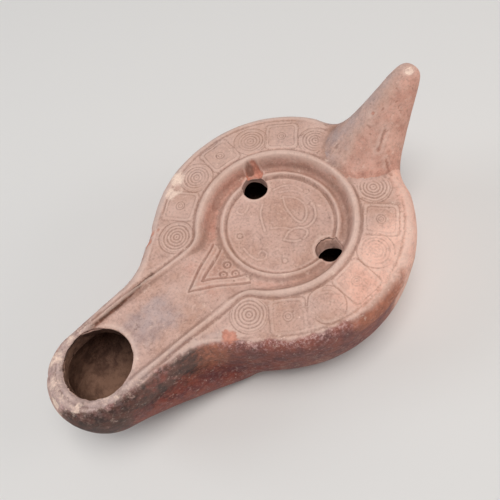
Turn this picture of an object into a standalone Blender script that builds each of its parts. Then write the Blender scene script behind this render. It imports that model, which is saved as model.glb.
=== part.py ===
"""Mould-made oil lamp of fired clay, hollow, with a long channelled nozzle and a solid handle.

The plan is drawn from arcs and straights about the centre of the sunken disc: the nozzle
points to -Y, the handle to +Y. Every upper surface is one height above that plan, the
lower surface is a row of narrowing copies of it, and the inside repeats both, a wall
thickness further in. Lengths are in metres.
"""
import math

import bpy
import bmesh
import numpy as np
from mathutils import Vector
from mathutils.geometry import delaunay_2d_cdt

# Outline of the body and the nozzle, seen from above, at its widest level
BODY_RADIUS = 0.0414
FLANK_ANGLE = math.radians(39.5)
NOZZLE_RADIUS = 0.0153
NOZZLE_LENGTH = 0.0281
NOZZLE_STATION = -(BODY_RADIUS + NOZZLE_LENGTH)
NECK_STATION = -(BODY_RADIUS + 0.21 * NOZZLE_LENGTH)

# Straight flank between the round body and the hollow fillet at the neck. It is shorter
# low down, where the body runs more fully into the nozzle. The fillet takes up at most
# FLANK_SHARE of it.
FLANK_RUN = 0.57 * BODY_RADIUS
NECK_FILLET = 0.0173
LOWER_FLANK_RUN = 0.07 * BODY_RADIUS
LOWER_NECK_FILLET = 0.0600
FLANK_SHARE = 0.95

# Heights above the table
WIDEST_HEIGHT = 0.0264
DISC_HEIGHT = WIDEST_HEIGHT + 0.0031
SHOULDER_HEIGHT = DISC_HEIGHT + 0.0041
NOZZLE_TOP_HEIGHT = SHOULDER_HEIGHT + 0.0010
CHANNEL_HEIGHT = NOZZLE_TOP_HEIGHT - 0.0018
CHANNEL_RISE = 0.045
SHOULDER_SLOPE = 0.090
SHOULDER_LEAN = 0.018
NOZZLE_KEEL_HEIGHT = 0.34 * WIDEST_HEIGHT

# Foot ring and the shallow recess inside it
FOOT_HEIGHT = 0.0012
FOOT_RING_WIDTH = 0.0036
FOOT_RECESS = 0.0008
FOOT_SLANT = 0.0007

# Roundness of the walls below the widest level
BODY_FULLNESS = 3.5
NOZZLE_FULLNESS = 2.8
BASE_SHARE = 0.53
KEEL_SHARE = 0.16
KEEL_START = -0.77 * BODY_RADIUS
KEEL_END = NOZZLE_STATION - 0.40 * NOZZLE_RADIUS

# Clay thicknesses
WALL = 0.0040
ROOF = 0.0042
FLOOR = 0.0040

# Rounded edge between the shoulder and the side wall
BODY_EDGE = 0.0034
NOZZLE_EDGE = 0.0040

# Ridge in the shape of a keyhole round the disc, the channel and the wick hole
RIDGE_RADIUS = 0.62 * BODY_RADIUS
RIDGE_CENTRE = -0.0012
RIDGE_FILLET = 0.0050
CHANNEL_HALF_WIDTH = 0.80 * NOZZLE_RADIUS
RIDGE_RISE = 0.0012
RIDGE_GROOVE = 0.0004
RIDGE_LIP = 0.0006
BODY_CREST = 0.0021
CHANNEL_CREST = 0.0010
BODY_RIDGE_WALL = 0.0016
CHANNEL_RIDGE_WALL = 0.0010

# Sunken disc, the low ring round it and the gutter between ring and ridge
DISC_RADIUS = 0.64 * RIDGE_RADIUS
RING_GROOVE = DISC_RADIUS + 0.0006
RING_INSIDE = RING_GROOVE + 0.0008
RING_OUTSIDE = RING_INSIDE + 0.0008
RING_FOOT = RING_OUTSIDE + 0.0009
RING_RISE = 0.0014
GROOVE_DEPTH = 0.0005
GUTTER_RISE = 0.0004
CHANNEL_RAMP = 0.0100

# Holes
WICK_RADIUS = 0.83 * CHANNEL_HALF_WIDTH
WICK_CENTRE = (-0.0005, NOZZLE_STATION + 0.12 * NOZZLE_RADIUS)
WICK_BEVEL = 0.0008
FILLING_RADIUS = 0.0041
RIGHT_FILLING_CENTRE = (1.04 * DISC_RADIUS, 0.27 * DISC_RADIUS)
LEFT_FILLING_CENTRE = (-0.94 * DISC_RADIUS, 0.18 * DISC_RADIUS)
FILLING_BEVEL = 0.0004

# Impressed stamps: round and square ones by turns along the shoulder
BAND_WIDTH = BODY_RADIUS - RIDGE_RADIUS
BAND_MIDDLE = RIDGE_RADIUS + 0.35 * BAND_WIDTH
CIRCLE_ANGLES = (-56.0, -14.5, 26.0, 66.0)
SQUARE_ANGLES = (-35.5, 5.5, 45.0)
CIRCLE_RADIUS = 0.32 * BAND_WIDTH
CIRCLE_RINGS = 5
SQUARE_HALF_SIDE = 0.29 * BAND_WIDTH
SQUARE_RINGS = 3
STAMP_DEPTH = 0.00045

# Double chevron and three ringlets on the panel below the disc: the chevrons' apexes lie
# these lengths in front of the ring, their arms end these lengths sideways and forward
CHEVRON_APEXES = (0.0159, 0.0107)
CHEVRON_ENDS = ((0.0088, 0.0004), (0.0060, -0.0006))
CHEVRON_WIDTH = 0.0009
CHEVRON_DEPTH = 0.00045
RINGLET_PLACES = ((-0.0003, 0.0016), (0.0037, 0.0016), (0.0019, 0.0046))
RINGLET_RADIUS = 0.0011

# Solid handle, leaning back from the shoulder. Its tip lies this far above the shoulder
# and this far behind the body, and its two edges start on the shoulder and low on the back.
HANDLE_HEIGHT = 0.0204
HANDLE_OVERHANG = 0.0140
HANDLE_SPREAD = 0.0200
HANDLE_KEEL_INSET = 0.0064
HANDLE_KEEL_HEIGHT = 0.34 * WIDEST_HEIGHT
HANDLE_ROOT_HALF_WIDTH = 0.0215
HANDLE_TIP_HALF_WIDTH = 0.0052

# The handle's edges bend towards these shares of the way from their start to the tip
FRONT_BENDS = ((0.46, 0.15), (0.70, 1.14))
BACK_BENDS = ((0.54, 0.28), (1.12, 0.92))
HANDLE_TAPER = 2.5
HANDLE_ROUNDNESS = 7.0
HANDLE_CROWDING = 1.5

# Fineness of the facets
OUTLINE_STEPS = (15, 2, 5, 4, 7)
RIDGE_STEPS = (16, 3, 6, 6)
RING_SIDES = 40
WICK_SIDES = 32
FILLING_SIDES = 16
STAMP_SIDES = 18
STAMP_LEAST_SIDES = 6
RINGLET_SIDES = 10
WALL_ANGLES = (12, 28, 45, 62, 78, 90)
EDGE_ANGLES = (30, 60, 90)
HANDLE_SIDES = 20
HANDLE_RINGS = 12
CLEARANCE = 0.00035
RUN_CHECKS = 17
PLAN_TOLERANCE = 0.00002

CLAY_COLOUR = (0.55, 0.30, 0.21, 1.0)
CLAY_ROUGHNESS = 0.85


def clear_scene():
    for item in list(bpy.data.objects):
        bpy.data.objects.remove(item, do_unlink=True)


def clay():
    material = bpy.data.materials.new("fired_clay")
    material.use_nodes = True
    shader = material.node_tree.nodes["Principled BSDF"]
    shader.inputs["Base Color"].default_value = CLAY_COLOUR
    shader.inputs["Roughness"].default_value = CLAY_ROUGHNESS
    shader.inputs["Metallic"].default_value = 0.0
    return material


def ramp(start, end, value):
    return np.clip((value - start) / (end - start), 0.0, 1.0)


def smooth_ramp(start, end, value):
    share = ramp(start, end, value)
    return share * share * (3.0 - 2.0 * share)


def mix(first, second, share):
    return first + (second - first) * share


class Arc:
    """Round stretch of a plan line. bulge is 1 where it bows outwards, -1 where it bows in."""

    def __init__(self, centre, radius, start, end, bulge):
        self.centre = np.array(centre)
        self.radius = radius
        self.start = start
        self.end = end
        self.bulge = bulge

    def points(self, steps, offset):
        angle = np.linspace(self.start, self.end, steps + 1)
        reach = self.radius + self.bulge * offset
        return self.centre + reach * np.stack([np.cos(angle), np.sin(angle)], axis=1)

    def distance(self, x, y):
        across, along = x - self.centre[0], y - self.centre[1]
        middle = (self.start + self.end) / 2
        span = abs(self.end - self.start) / 2
        turn = np.arctan2(along, across) - middle
        turn = np.clip(np.arctan2(np.sin(turn), np.cos(turn)), -span, span) + middle
        gap_x = across - self.radius * np.cos(turn)
        gap_y = along - self.radius * np.sin(turn)
        side = np.sign(self.bulge * (np.hypot(across, along) - self.radius))
        return side * np.hypot(gap_x, gap_y)


class Straight:
    """Straight stretch of a plan line. Its outer side is on the left of its direction."""

    def __init__(self, start, end):
        self.start = np.array(start)
        self.end = np.array(end)
        self.run = self.end - self.start
        self.length = np.hypot(*self.run)
        self.outward = np.array([-self.run[1], self.run[0]]) / self.length

    def points(self, steps, offset):
        share = np.linspace(0.0, 1.0, steps + 1)[:, None]
        return self.start + self.run * share + self.outward * offset

    def distance(self, x, y):
        across, along = x - self.start[0], y - self.start[1]
        share = (across * self.run[0] + along * self.run[1]) / self.length ** 2
        share = np.clip(share, 0.0, 1.0)
        gap_x = across - self.run[0] * share
        gap_y = along - self.run[1] * share
        side = np.sign(across * self.outward[0] + along * self.outward[1])
        return side * np.hypot(gap_x, gap_y)


class PlanLine:
    """Closed plan line, drawn for the right half from the back to the tip and mirrored."""

    def __init__(self, stretches, steps):
        self.stretches = stretches
        self.steps = steps

    def loop(self, offset):
        """Points round the line, moved outwards by offset, which may change with y."""
        half = []
        for stretch, steps in zip(self.stretches, self.steps):
            plain = stretch.points(steps, 0.0)
            moved = stretch.points(steps, 1.0)
            reach = offset(plain[:, 1]) if callable(offset) else offset
            points = plain + (moved - plain) * np.reshape(reach, (-1, 1))
            half.append(points if not half else points[1:])
        half = np.concatenate(half)
        half[0, 0] = 0.0
        half[-1, 0] = 0.0
        left = half[-2:0:-1] * (-1.0, 1.0)
        return np.concatenate([half, left])

    def distance(self, x, y):
        """Signed distance from the line, positive outside it."""
        best = np.full(np.shape(x), 1.0)
        for stretch in self.stretches:
            gap = stretch.distance(np.abs(x), y)
            best = np.where(np.abs(gap) < np.abs(best), gap, best)
        return best


def tangent_to_circle(point, centre, radius):
    """Unit direction of the line from point that touches the circle on its +X side."""
    to_centre = np.array(centre) - np.array(point)
    reach = np.hypot(*to_centre)
    swing = math.asin(radius / reach)
    heading = math.atan2(to_centre[1], to_centre[0]) + swing
    return np.array([math.cos(heading), math.sin(heading)])


def body_line(flank_run, fillet):
    """Body circle, straight flank, hollow fillet, nozzle side and round nozzle end."""
    flank_end = -FLANK_ANGLE
    touch = BODY_RADIUS * np.array([math.cos(flank_end), math.sin(flank_end)])
    flank = np.array([math.sin(flank_end), -math.cos(flank_end)])
    meeting = touch + flank_run * flank
    end_centre = np.array([0.0, NOZZLE_STATION])
    side = tangent_to_circle(meeting, end_centre, NOZZLE_RADIUS)
    turn = math.acos(float(np.clip(flank @ side, -1.0, 1.0)))
    leg = min(fillet * math.tan(turn / 2), FLANK_SHARE * flank_run)
    fillet = leg / math.tan(turn / 2)
    fillet_start = meeting - leg * flank
    fillet_end = meeting + leg * side
    flank_normal = np.array([-flank[1], flank[0]])
    side_normal = np.array([-side[1], side[0]])
    centre = fillet_start + fillet * flank_normal
    start_angle = math.atan2(-flank_normal[1], -flank_normal[0]) % (2 * math.pi)
    end_angle = math.atan2(-side_normal[1], -side_normal[0]) % (2 * math.pi)
    side_angle = math.atan2(side_normal[1], side_normal[0])
    side_end = end_centre + NOZZLE_RADIUS * side_normal
    stretches = (
        Arc((0.0, 0.0), BODY_RADIUS, math.pi / 2, flank_end, 1),
        Straight(touch, fillet_start),
        Arc(centre, fillet, start_angle, end_angle, -1),
        Straight(fillet_end, side_end),
        Arc(end_centre, NOZZLE_RADIUS, side_angle, -math.pi / 2, 1),
    )
    return PlanLine(stretches, OUTLINE_STEPS)


def keyhole_line():
    """Outer foot of the ridge: a circle, a small fillet, the channel side and a round end."""
    reach = RIDGE_RADIUS + RIDGE_FILLET
    across = CHANNEL_HALF_WIDTH + RIDGE_FILLET
    down = math.sqrt(reach ** 2 - across ** 2)
    corner = (across, RIDGE_CENTRE - down)
    meeting = math.atan2(-down, across)
    stretches = (
        Arc((0.0, RIDGE_CENTRE), RIDGE_RADIUS, math.pi / 2, meeting, 1),
        Arc(corner, RIDGE_FILLET, meeting + math.pi, math.pi, -1),
        Straight((CHANNEL_HALF_WIDTH, corner[1]), (CHANNEL_HALF_WIDTH, WICK_CENTRE[1])),
        Arc((0.0, WICK_CENTRE[1]), CHANNEL_HALF_WIDTH, 0.0, -math.pi / 2, 1),
    )
    return PlanLine(stretches, RIDGE_STEPS)


OUTLINE = body_line(FLANK_RUN, NECK_FILLET)
LOWER_OUTLINE = body_line(LOWER_FLANK_RUN, LOWER_NECK_FILLET)
KEYHOLE = keyhole_line()


def nozzle_share(y):
    """0 over the body, 1 over the nozzle, for what changes between the two."""
    return smooth_ramp(-RIDGE_RADIUS, NECK_STATION, y)


def channel_share(y):
    """0 where the ridge runs round the disc, 1 where it runs along the channel."""
    corner = RIDGE_CENTRE - math.sqrt((RIDGE_RADIUS + RIDGE_FILLET) ** 2
                                      - (CHANNEL_HALF_WIDTH + RIDGE_FILLET) ** 2)
    return smooth_ramp(corner / 2, corner, y)


def crest_width(y):
    return mix(BODY_CREST, CHANNEL_CREST, channel_share(y))


def ridge_wall(y):
    return mix(BODY_RIDGE_WALL, CHANNEL_RIDGE_WALL, channel_share(y))


def edge_width(y):
    return mix(BODY_EDGE, NOZZLE_EDGE, nozzle_share(y))


def shoulder_level(x, y):
    body = SHOULDER_HEIGHT - SHOULDER_SLOPE * (np.hypot(x, y) - RIDGE_RADIUS) + SHOULDER_LEAN * y
    return mix(body, NOZZLE_TOP_HEIGHT, nozzle_share(y))


def hollow_level(y):
    """Gutter round the disc, rising in front of it to the floor of the channel."""
    gutter = DISC_HEIGHT + GUTTER_RISE
    channel = CHANNEL_HEIGHT - CHANNEL_RISE * (y + RIDGE_RADIUS)
    return mix(gutter, channel, smooth_ramp(-RING_FOOT, -RING_FOOT - CHANNEL_RAMP, y))


def disc_profile(radius, outside):
    """Disc, groove and low ring, out to the level that surrounds them."""
    ring = DISC_HEIGHT + RING_RISE
    level = mix(DISC_HEIGHT, DISC_HEIGHT - GROOVE_DEPTH, ramp(DISC_RADIUS, RING_GROOVE, radius))
    level = mix(level, ring, ramp(RING_GROOVE, RING_INSIDE, radius))
    return mix(level, outside, ramp(RING_OUTSIDE, RING_FOOT, radius))


def square_radius(x, y, centre):
    """Distance from a square stamp's centre, counted square, with its sides along the band."""
    turn = math.atan2(centre[1], centre[0])
    across = (x - centre[0]) * math.cos(turn) + (y - centre[1]) * math.sin(turn)
    along = (y - centre[1]) * math.cos(turn) - (x - centre[0]) * math.sin(turn)
    return np.maximum(np.abs(across), np.abs(along))


def stamp_places(angles):
    """Centres of stamps at these angles round the band, on the right and on the left."""
    places = []
    for side in (1.0, -1.0):
        for angle in angles:
            turn = math.radians(angle)
            across, along = BAND_MIDDLE * math.cos(turn), BAND_MIDDLE * math.sin(turn)
            places.append((side * across, RIDGE_CENTRE + along))
    return places


def chevrons():
    """Apex and right-hand end of each chevron."""
    return [((0.0, -RING_FOOT - apex), (end[0], -RING_FOOT - end[1]))
            for apex, end in zip(CHEVRON_APEXES, CHEVRON_ENDS)]


def ringlets():
    return [(x, -RING_FOOT - gap) for x, gap in RINGLET_PLACES]


def stamp_wave(radius, size, rings):
    """Concentric grooves: a pit at the centre, and the last of the rings at radius size."""
    wave = 0.5 + 0.5 * np.cos(2 * np.pi * radius * rings / size)
    return np.where(radius < stamp_edge(size, rings), -STAMP_DEPTH * wave, 0.0)


def stamp_edge(size, rings):
    """Where the outer side of the last groove meets the plain surface."""
    return size * (rings + 0.5) / rings


def stamps(x, y):
    relief = np.zeros(np.shape(x))
    for centre in stamp_places(CIRCLE_ANGLES):
        relief += stamp_wave(np.hypot(x - centre[0], y - centre[1]), CIRCLE_RADIUS, CIRCLE_RINGS)
    for centre in stamp_places(SQUARE_ANGLES):
        relief += stamp_wave(square_radius(x, y, centre), SQUARE_HALF_SIDE, SQUARE_RINGS)
    return relief


def chevron_gap(x, y, apex, end):
    """Distance from the nearer arm of one chevron."""
    run = np.array(end) - np.array(apex)
    across, along = np.abs(x) - apex[0], y - apex[1]
    share = np.clip((across * run[0] + along * run[1]) / (run @ run), 0.0, 1.0)
    return np.hypot(across - run[0] * share, along - run[1] * share)


def panel_marks(x, y):
    relief = np.zeros(np.shape(x))
    for apex, end in chevrons():
        gap = chevron_gap(x, y, apex, end)
        relief -= CHEVRON_DEPTH * (1.0 - ramp(0.0, CHEVRON_WIDTH / 2, gap))
    for centre in ringlets():
        reach = np.hypot(x - centre[0], y - centre[1])
        relief += stamp_wave(reach, RINGLET_RADIUS, 1)
    return relief


def plain_top(x, y):
    """Height of the top without its relief: disc, gutter, ridge and shoulder."""
    inward = -KEYHOLE.distance(x, y)
    crest, wall = crest_width(y), ridge_wall(y)
    shoulder = shoulder_level(x, y)
    hollow = disc_profile(np.hypot(x, y), hollow_level(y))
    groove = RIDGE_GROOVE * (1.0 - ramp(0.0, RIDGE_LIP, np.abs(inward)))
    level = mix(shoulder - groove, shoulder + RIDGE_RISE, ramp(0.0, RIDGE_LIP, inward))
    return mix(level, hollow, ramp(RIDGE_LIP + crest, RIDGE_LIP + crest + wall, inward))


def hole_bevel(x, y):
    """How far the rims of the holes are eased down."""
    drop = np.zeros(np.shape(x))
    for centre, radius, bevel in holes():
        reach = np.hypot(x - centre[0], y - centre[1])
        drop = np.maximum(drop, bevel * (1.0 - ramp(radius, radius + bevel, reach)))
    return drop


def rounded(level, inset, width, edge_level):
    """Quarter-round fall from a level to the widest line."""
    turn = 1.0 - ramp(PLAN_TOLERANCE, width, inset)
    return mix(edge_level, level, np.sqrt(np.maximum(0.0, 1.0 - turn ** 2)))


def top_height(x, y):
    level = plain_top(x, y) + stamps(x, y) + panel_marks(x, y) - hole_bevel(x, y)
    inset = -OUTLINE.distance(x, y)
    return rounded(level, inset, edge_width(y), WIDEST_HEIGHT)


def ceiling_height(x, y):
    """Inner side of the roof, which follows the disc, the shoulder and the channel."""
    inward = -KEYHOLE.distance(x, y)
    blend = BODY_CREST + BODY_RIDGE_WALL + RIDGE_LIP
    level = mix(shoulder_level(x, y), hollow_level(y), smooth_ramp(0.0, 2 * blend, inward)) - ROOF
    inset = -OUTLINE.distance(x, y) - WALL
    return rounded(level, inset, edge_width(y), WIDEST_HEIGHT)


def holes():
    """Centre, radius and bevel of each hole through the roof."""
    found = [(WICK_CENTRE, WICK_RADIUS, WICK_BEVEL)]
    for centre in (RIGHT_FILLING_CENTRE, LEFT_FILLING_CENTRE):
        found.append((centre, FILLING_RADIUS, FILLING_BEVEL))
    return found


def circle(centre, radius, sides):
    angle = np.arange(sides) * 2 * math.pi / sides
    return np.array(centre) + radius * np.stack([np.cos(angle), np.sin(angle)], axis=1)


def hole_sides(radius):
    return WICK_SIDES if radius == WICK_RADIUS else FILLING_SIDES


def square_loop(centre, half_side):
    turn = math.atan2(centre[1], centre[0])
    corners = ((1, -1), (1, 0), (1, 1), (0, 1), (-1, 1), (-1, 0), (-1, -1), (0, -1))
    across = np.array([math.cos(turn), math.sin(turn)]) * half_side
    along = np.array([-math.sin(turn), math.cos(turn)]) * half_side
    return np.array([np.array(centre) + a * across + b * along for a, b in corners])


class Drawing:
    """Plan points and lines from which one surface is triangulated. Earlier lines win."""

    def __init__(self):
        self.points = []
        self.edges = []
        self.kept_clear = []
        self.cuts = []

    def reserve(self, inside, cut=False):
        """Later points for which inside(x, y, clearance) is true are left out.

        Later lines don't cross a cut either, so that its edge stays as drawn.
        """
        self.kept_clear.append(inside)
        if cut:
            self.cuts.append(inside)

    def enters(self, first, second):
        """Whether the straight line between two points runs into a cut."""
        along = np.linspace(first, second, RUN_CHECKS)
        return any(inside(along[:, 0], along[:, 1], 0.0).any() for inside in self.cuts)

    def line(self, points, closed=True):
        keep = np.ones(len(points), bool)
        for inside in self.kept_clear:
            keep &= ~inside(points[:, 0], points[:, 1], CLEARANCE)
        index = np.cumsum(keep) - 1 + len(self.points)
        self.points.extend(points[keep])
        count = len(points)
        for here in range(count if closed else count - 1):
            after = (here + 1) % count
            if keep[here] and keep[after] and not self.enters(points[here], points[after]):
                self.edges.append((int(index[here]), int(index[after])))

    def surface(self, height, inside, upwards):
        """Vertices and triangles of the surface height(x, y) where inside(x, y) is true."""
        plan = [Vector((float(x), float(y))) for x, y in self.points]
        found = delaunay_2d_cdt(plan, self.edges, [], 0, 1e-7)
        corners = np.array([tuple(v) for v in found[0]])
        faces = np.array(found[2])
        middle = corners[faces].mean(axis=1)
        faces = faces[inside(middle[:, 0], middle[:, 1])]
        if not upwards:
            faces = faces[:, ::-1]
        levels = height(corners[:, 0], corners[:, 1])
        return np.column_stack([corners, levels]), faces


def near_circle(centre, radius):
    return lambda x, y, clearance: np.hypot(x - centre[0], y - centre[1]) < radius + clearance


def near_square(centre, half_side):
    return lambda x, y, clearance: square_radius(x, y, centre) < half_side + clearance


def outside_holes(x, y):
    clear = np.ones(np.shape(x), bool)
    for centre, radius, _ in holes():
        facet = radius * math.cos(math.pi / hole_sides(radius))
        clear &= np.hypot(x - centre[0], y - centre[1]) > facet - PLAN_TOLERANCE
    return clear


def draw_hole_rims(drawing):
    """Bevels on the top. The cut itself runs between the two loops."""
    for centre, radius, bevel in holes():
        sides = hole_sides(radius)
        drawing.line(circle(centre, radius - bevel, sides))
        drawing.line(circle(centre, radius + bevel, sides))
        drawing.reserve(near_circle(centre, radius + bevel), cut=True)


def draw_shaft_feet(drawing):
    for centre, radius, _ in holes():
        drawing.line(circle(centre, radius, hole_sides(radius)))
        drawing.reserve(near_circle(centre, radius), cut=True)


def stamp_reaches(size, rings):
    """Reach of each crest and groove of a stamp, from its edge inwards."""
    return [size * step / (2 * rings) for step in range(2 * rings + 1, 0, -1)]


def draw_stamps(drawing):
    for centre in stamp_places(CIRCLE_ANGLES):
        edge = stamp_edge(CIRCLE_RADIUS, CIRCLE_RINGS)
        for reach in stamp_reaches(CIRCLE_RADIUS, CIRCLE_RINGS):
            drawing.line(circle(centre, reach, stamp_sides(reach / edge)))
        drawing.line(np.array([centre]), closed=False)
        drawing.reserve(near_circle(centre, edge))
    for centre in stamp_places(SQUARE_ANGLES):
        for reach in stamp_reaches(SQUARE_HALF_SIDE, SQUARE_RINGS):
            drawing.line(square_loop(centre, reach))
        drawing.line(np.array([centre]), closed=False)
        drawing.reserve(near_square(centre, stamp_edge(SQUARE_HALF_SIDE, SQUARE_RINGS)))


def stamp_sides(share):
    """Fewer facets towards the middle of a stamp."""
    return STAMP_LEAST_SIDES + int(round(share * (STAMP_SIDES - STAMP_LEAST_SIDES)))


def chevron_loop(apex, end, offset):
    """Both arms of a chevron, moved sideways by offset, from right to left."""
    run = np.array(end) - np.array(apex)
    slope = run / np.hypot(*run)
    tip = np.array([0.0, apex[1] - offset / slope[0]])
    side = np.array(end) + offset * np.array([slope[1], -slope[0]])
    arm = np.array([mix(side, tip, share) for share in (0.0, 0.5, 1.0)])
    return np.concatenate([arm, arm[-2::-1] * (-1.0, 1.0)])


def draw_panel(drawing):
    for centre in ringlets():
        for reach in stamp_reaches(RINGLET_RADIUS, 1):
            drawing.line(circle(centre, reach, RINGLET_SIDES))
        drawing.line(np.array([centre]), closed=False)
        drawing.reserve(near_circle(centre, stamp_edge(RINGLET_RADIUS, 1)))
    for apex, end in chevrons():
        for offset in (CHEVRON_WIDTH / 2, 0.0, -CHEVRON_WIDTH / 2):
            drawing.line(chevron_loop(apex, end, offset), closed=False)


def top_surface():
    drawing = Drawing()
    drawing.line(OUTLINE.loop(0.0))
    draw_hole_rims(drawing)
    draw_stamps(drawing)
    draw_panel(drawing)
    for angle in EDGE_ANGLES:
        inset = 1.0 - math.cos(math.radians(angle))
        drawing.line(OUTLINE.loop(lambda y, inset=inset: -inset * edge_width(y)))
    drawing.line(KEYHOLE.loop(RIDGE_LIP))
    drawing.line(KEYHOLE.loop(0.0))
    drawing.line(KEYHOLE.loop(-RIDGE_LIP))
    drawing.line(KEYHOLE.loop(lambda y: -RIDGE_LIP - crest_width(y)))
    drawing.line(KEYHOLE.loop(lambda y: -RIDGE_LIP - crest_width(y) - ridge_wall(y)))
    for radius in (DISC_RADIUS, RING_GROOVE, RING_INSIDE, RING_OUTSIDE, RING_FOOT):
        drawing.line(circle((0.0, 0.0), radius, RING_SIDES))
    drawing.line(circle((0.0, 0.0), DISC_RADIUS / 2, RING_SIDES // 4))

    def inside(x, y):
        return OUTLINE.distance(x, y) < 0

    return drawing.surface(top_height, inside, upwards=True)


def ceiling_surface():
    drawing = Drawing()
    drawing.line(OUTLINE.loop(-WALL))
    draw_shaft_feet(drawing)
    for angle in EDGE_ANGLES[1:]:
        inset = 1.0 - math.cos(math.radians(angle))
        drawing.line(OUTLINE.loop(lambda y, inset=inset: -WALL - inset * edge_width(y)))
    for radius in (RIDGE_RADIUS, RING_FOOT):
        drawing.line(circle((0.0, 0.0), radius, RING_SIDES // 2))

    def inside(x, y):
        return (OUTLINE.distance(x, y) < -WALL) & outside_holes(x, y)

    return drawing.surface(ceiling_height, inside, upwards=True)


def spine_of(loop):
    """For each point of a loop, the nearest point of the line down the middle."""
    return np.column_stack([np.zeros(len(loop)), np.clip(loop[:, 1], NOZZLE_STATION, 0.0)])


def keel_share(y):
    return smooth_ramp(KEEL_START, KEEL_END, y)


def underside_level(y):
    """Height of the lowest line of the underside, which rises under the nozzle."""
    return mix(FOOT_HEIGHT, NOZZLE_KEEL_HEIGHT, keel_share(y))


def wall_row(angle, inset, lift):
    """One loop of the side wall: angle 0 is the widest line and 90 degrees the underside."""
    upper = OUTLINE.loop(-inset)
    lower = LOWER_OUTLINE.loop(-inset)
    loop = mix(upper, lower, math.sin(angle))
    spine = spine_of(loop)
    share = keel_share(spine[:, 1])
    power = 2.0 / mix(BODY_FULLNESS, NOZZLE_FULLNESS, share)
    base = mix(BASE_SHARE, KEEL_SHARE, share)
    reach = base + (1.0 - base) * max(0.0, math.cos(angle)) ** power
    bottom = underside_level(spine[:, 1]) + lift
    height = WIDEST_HEIGHT - (WIDEST_HEIGHT - bottom) * math.sin(angle) ** power
    plan = spine + (loop - spine) * reach[:, None]
    return np.column_stack([plan, height])


def wall_rows(inset, lift):
    return [wall_row(math.radians(angle), inset, lift) for angle in (0,) + WALL_ANGLES]


def foot_height(x, y):
    """Underside with its foot ring and the shallow recess inside the ring."""
    radius = np.hypot(x, y)
    outside = underside_level(np.clip(y, NOZZLE_STATION, 0.0))
    foot_in, foot_out = foot_radii()
    level = mix(0.0, outside, ramp(foot_out, foot_out + FOOT_SLANT, radius))
    return level + FOOT_RECESS * (1.0 - ramp(foot_in - FOOT_SLANT, foot_in, radius))


def foot_radii():
    """Inner and outer radius of the foot ring."""
    outer = BODY_RADIUS * BASE_SHARE - 2 * FOOT_SLANT
    return outer - FOOT_RING_WIDTH, outer


def inside_polygon(loop):
    """Test for plan points inside a closed loop."""
    def inside(x, y):
        odd = np.zeros(np.shape(x), bool)
        for here, after in zip(loop, np.roll(loop, -1, axis=0)):
            crosses = (here[1] > y) != (after[1] > y)
            run = after[1] - here[1]
            if run == 0:
                continue
            odd ^= crosses & (x < here[0] + (after[0] - here[0]) * (y - here[1]) / run)
        return odd
    return inside


def bottom_surface(last_row):
    drawing = Drawing()
    plan = last_row[:, :2]
    drawing.line(plan)
    foot_in, foot_out = foot_radii()
    for radius in (foot_out + FOOT_SLANT, foot_out, foot_in, foot_in - FOOT_SLANT):
        drawing.line(circle((0.0, 0.0), radius, RING_SIDES))
    return drawing.surface(foot_height, inside_polygon(plan), upwards=False)


def floor_surface(last_row):
    drawing = Drawing()
    plan = last_row[:, :2]
    drawing.line(plan)

    def level(x, y):
        return underside_level(np.clip(y, NOZZLE_STATION, 0.0)) + FLOOR

    return drawing.surface(level, inside_polygon(plan), upwards=False)


def strip(first, second, outwards):
    """Triangles between two loops of equal length."""
    count = len(first)
    corners = np.concatenate([first, second])
    faces = []
    for here in range(count):
        after = (here + 1) % count
        faces.append((here, after, count + after))
        faces.append((here, count + after, count + here))
    faces = np.array(faces)
    return corners, faces if outwards else faces[:, ::-1]


def shaft(centre, radius, top):
    """Straight hole from the ceiling up past the top surface, closed above."""
    plan = circle(centre, radius, hole_sides(radius))
    lower = np.column_stack([plan, ceiling_height(plan[:, 0], plan[:, 1])])
    upper = np.column_stack([plan, np.full(len(plan), top)])
    return [strip(lower, upper, outwards=True), cap(upper, upwards=True)]


def cap(loop, upwards):
    """Fan of triangles that closes a loop."""
    corners = np.concatenate([loop, [loop.mean(axis=0)]])
    count = len(loop)
    faces = np.array([(here, (here + 1) % count, count) for here in range(count)])
    return corners, faces if upwards else faces[:, ::-1]


def side_wall(rows):
    return [strip(above, below, outwards=True) for above, below in zip(rows, rows[1:])]


def outer_patches():
    """The lamp as a full lump of clay: top, side wall and underside."""
    rows = wall_rows(0.0, 0.0)
    return [top_surface(), *side_wall(rows), bottom_surface(rows[-1])]


def hollow_patches():
    """The space inside: reservoir, nozzle and the three shafts through the roof."""
    rows = wall_rows(WALL, FLOOR)
    patches = [ceiling_surface(), *side_wall(rows), floor_surface(rows[-1])]
    for centre, radius, _ in holes():
        patches.extend(shaft(centre, radius, SHOULDER_HEIGHT + HANDLE_HEIGHT))
    return patches


def curve_points(start, bends, tip, shares):
    """Cubic curve in the mirror plane from start to tip, bent towards shares of that way."""
    start, tip = np.array(start), np.array(tip)
    first, second = [start + (tip - start) * np.array(bend) for bend in bends]
    rest = 1.0 - shares
    return (start * rest ** 3 + 3 * first * shares * rest ** 2
            + 3 * second * shares ** 2 * rest + tip * shares ** 3)


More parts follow.
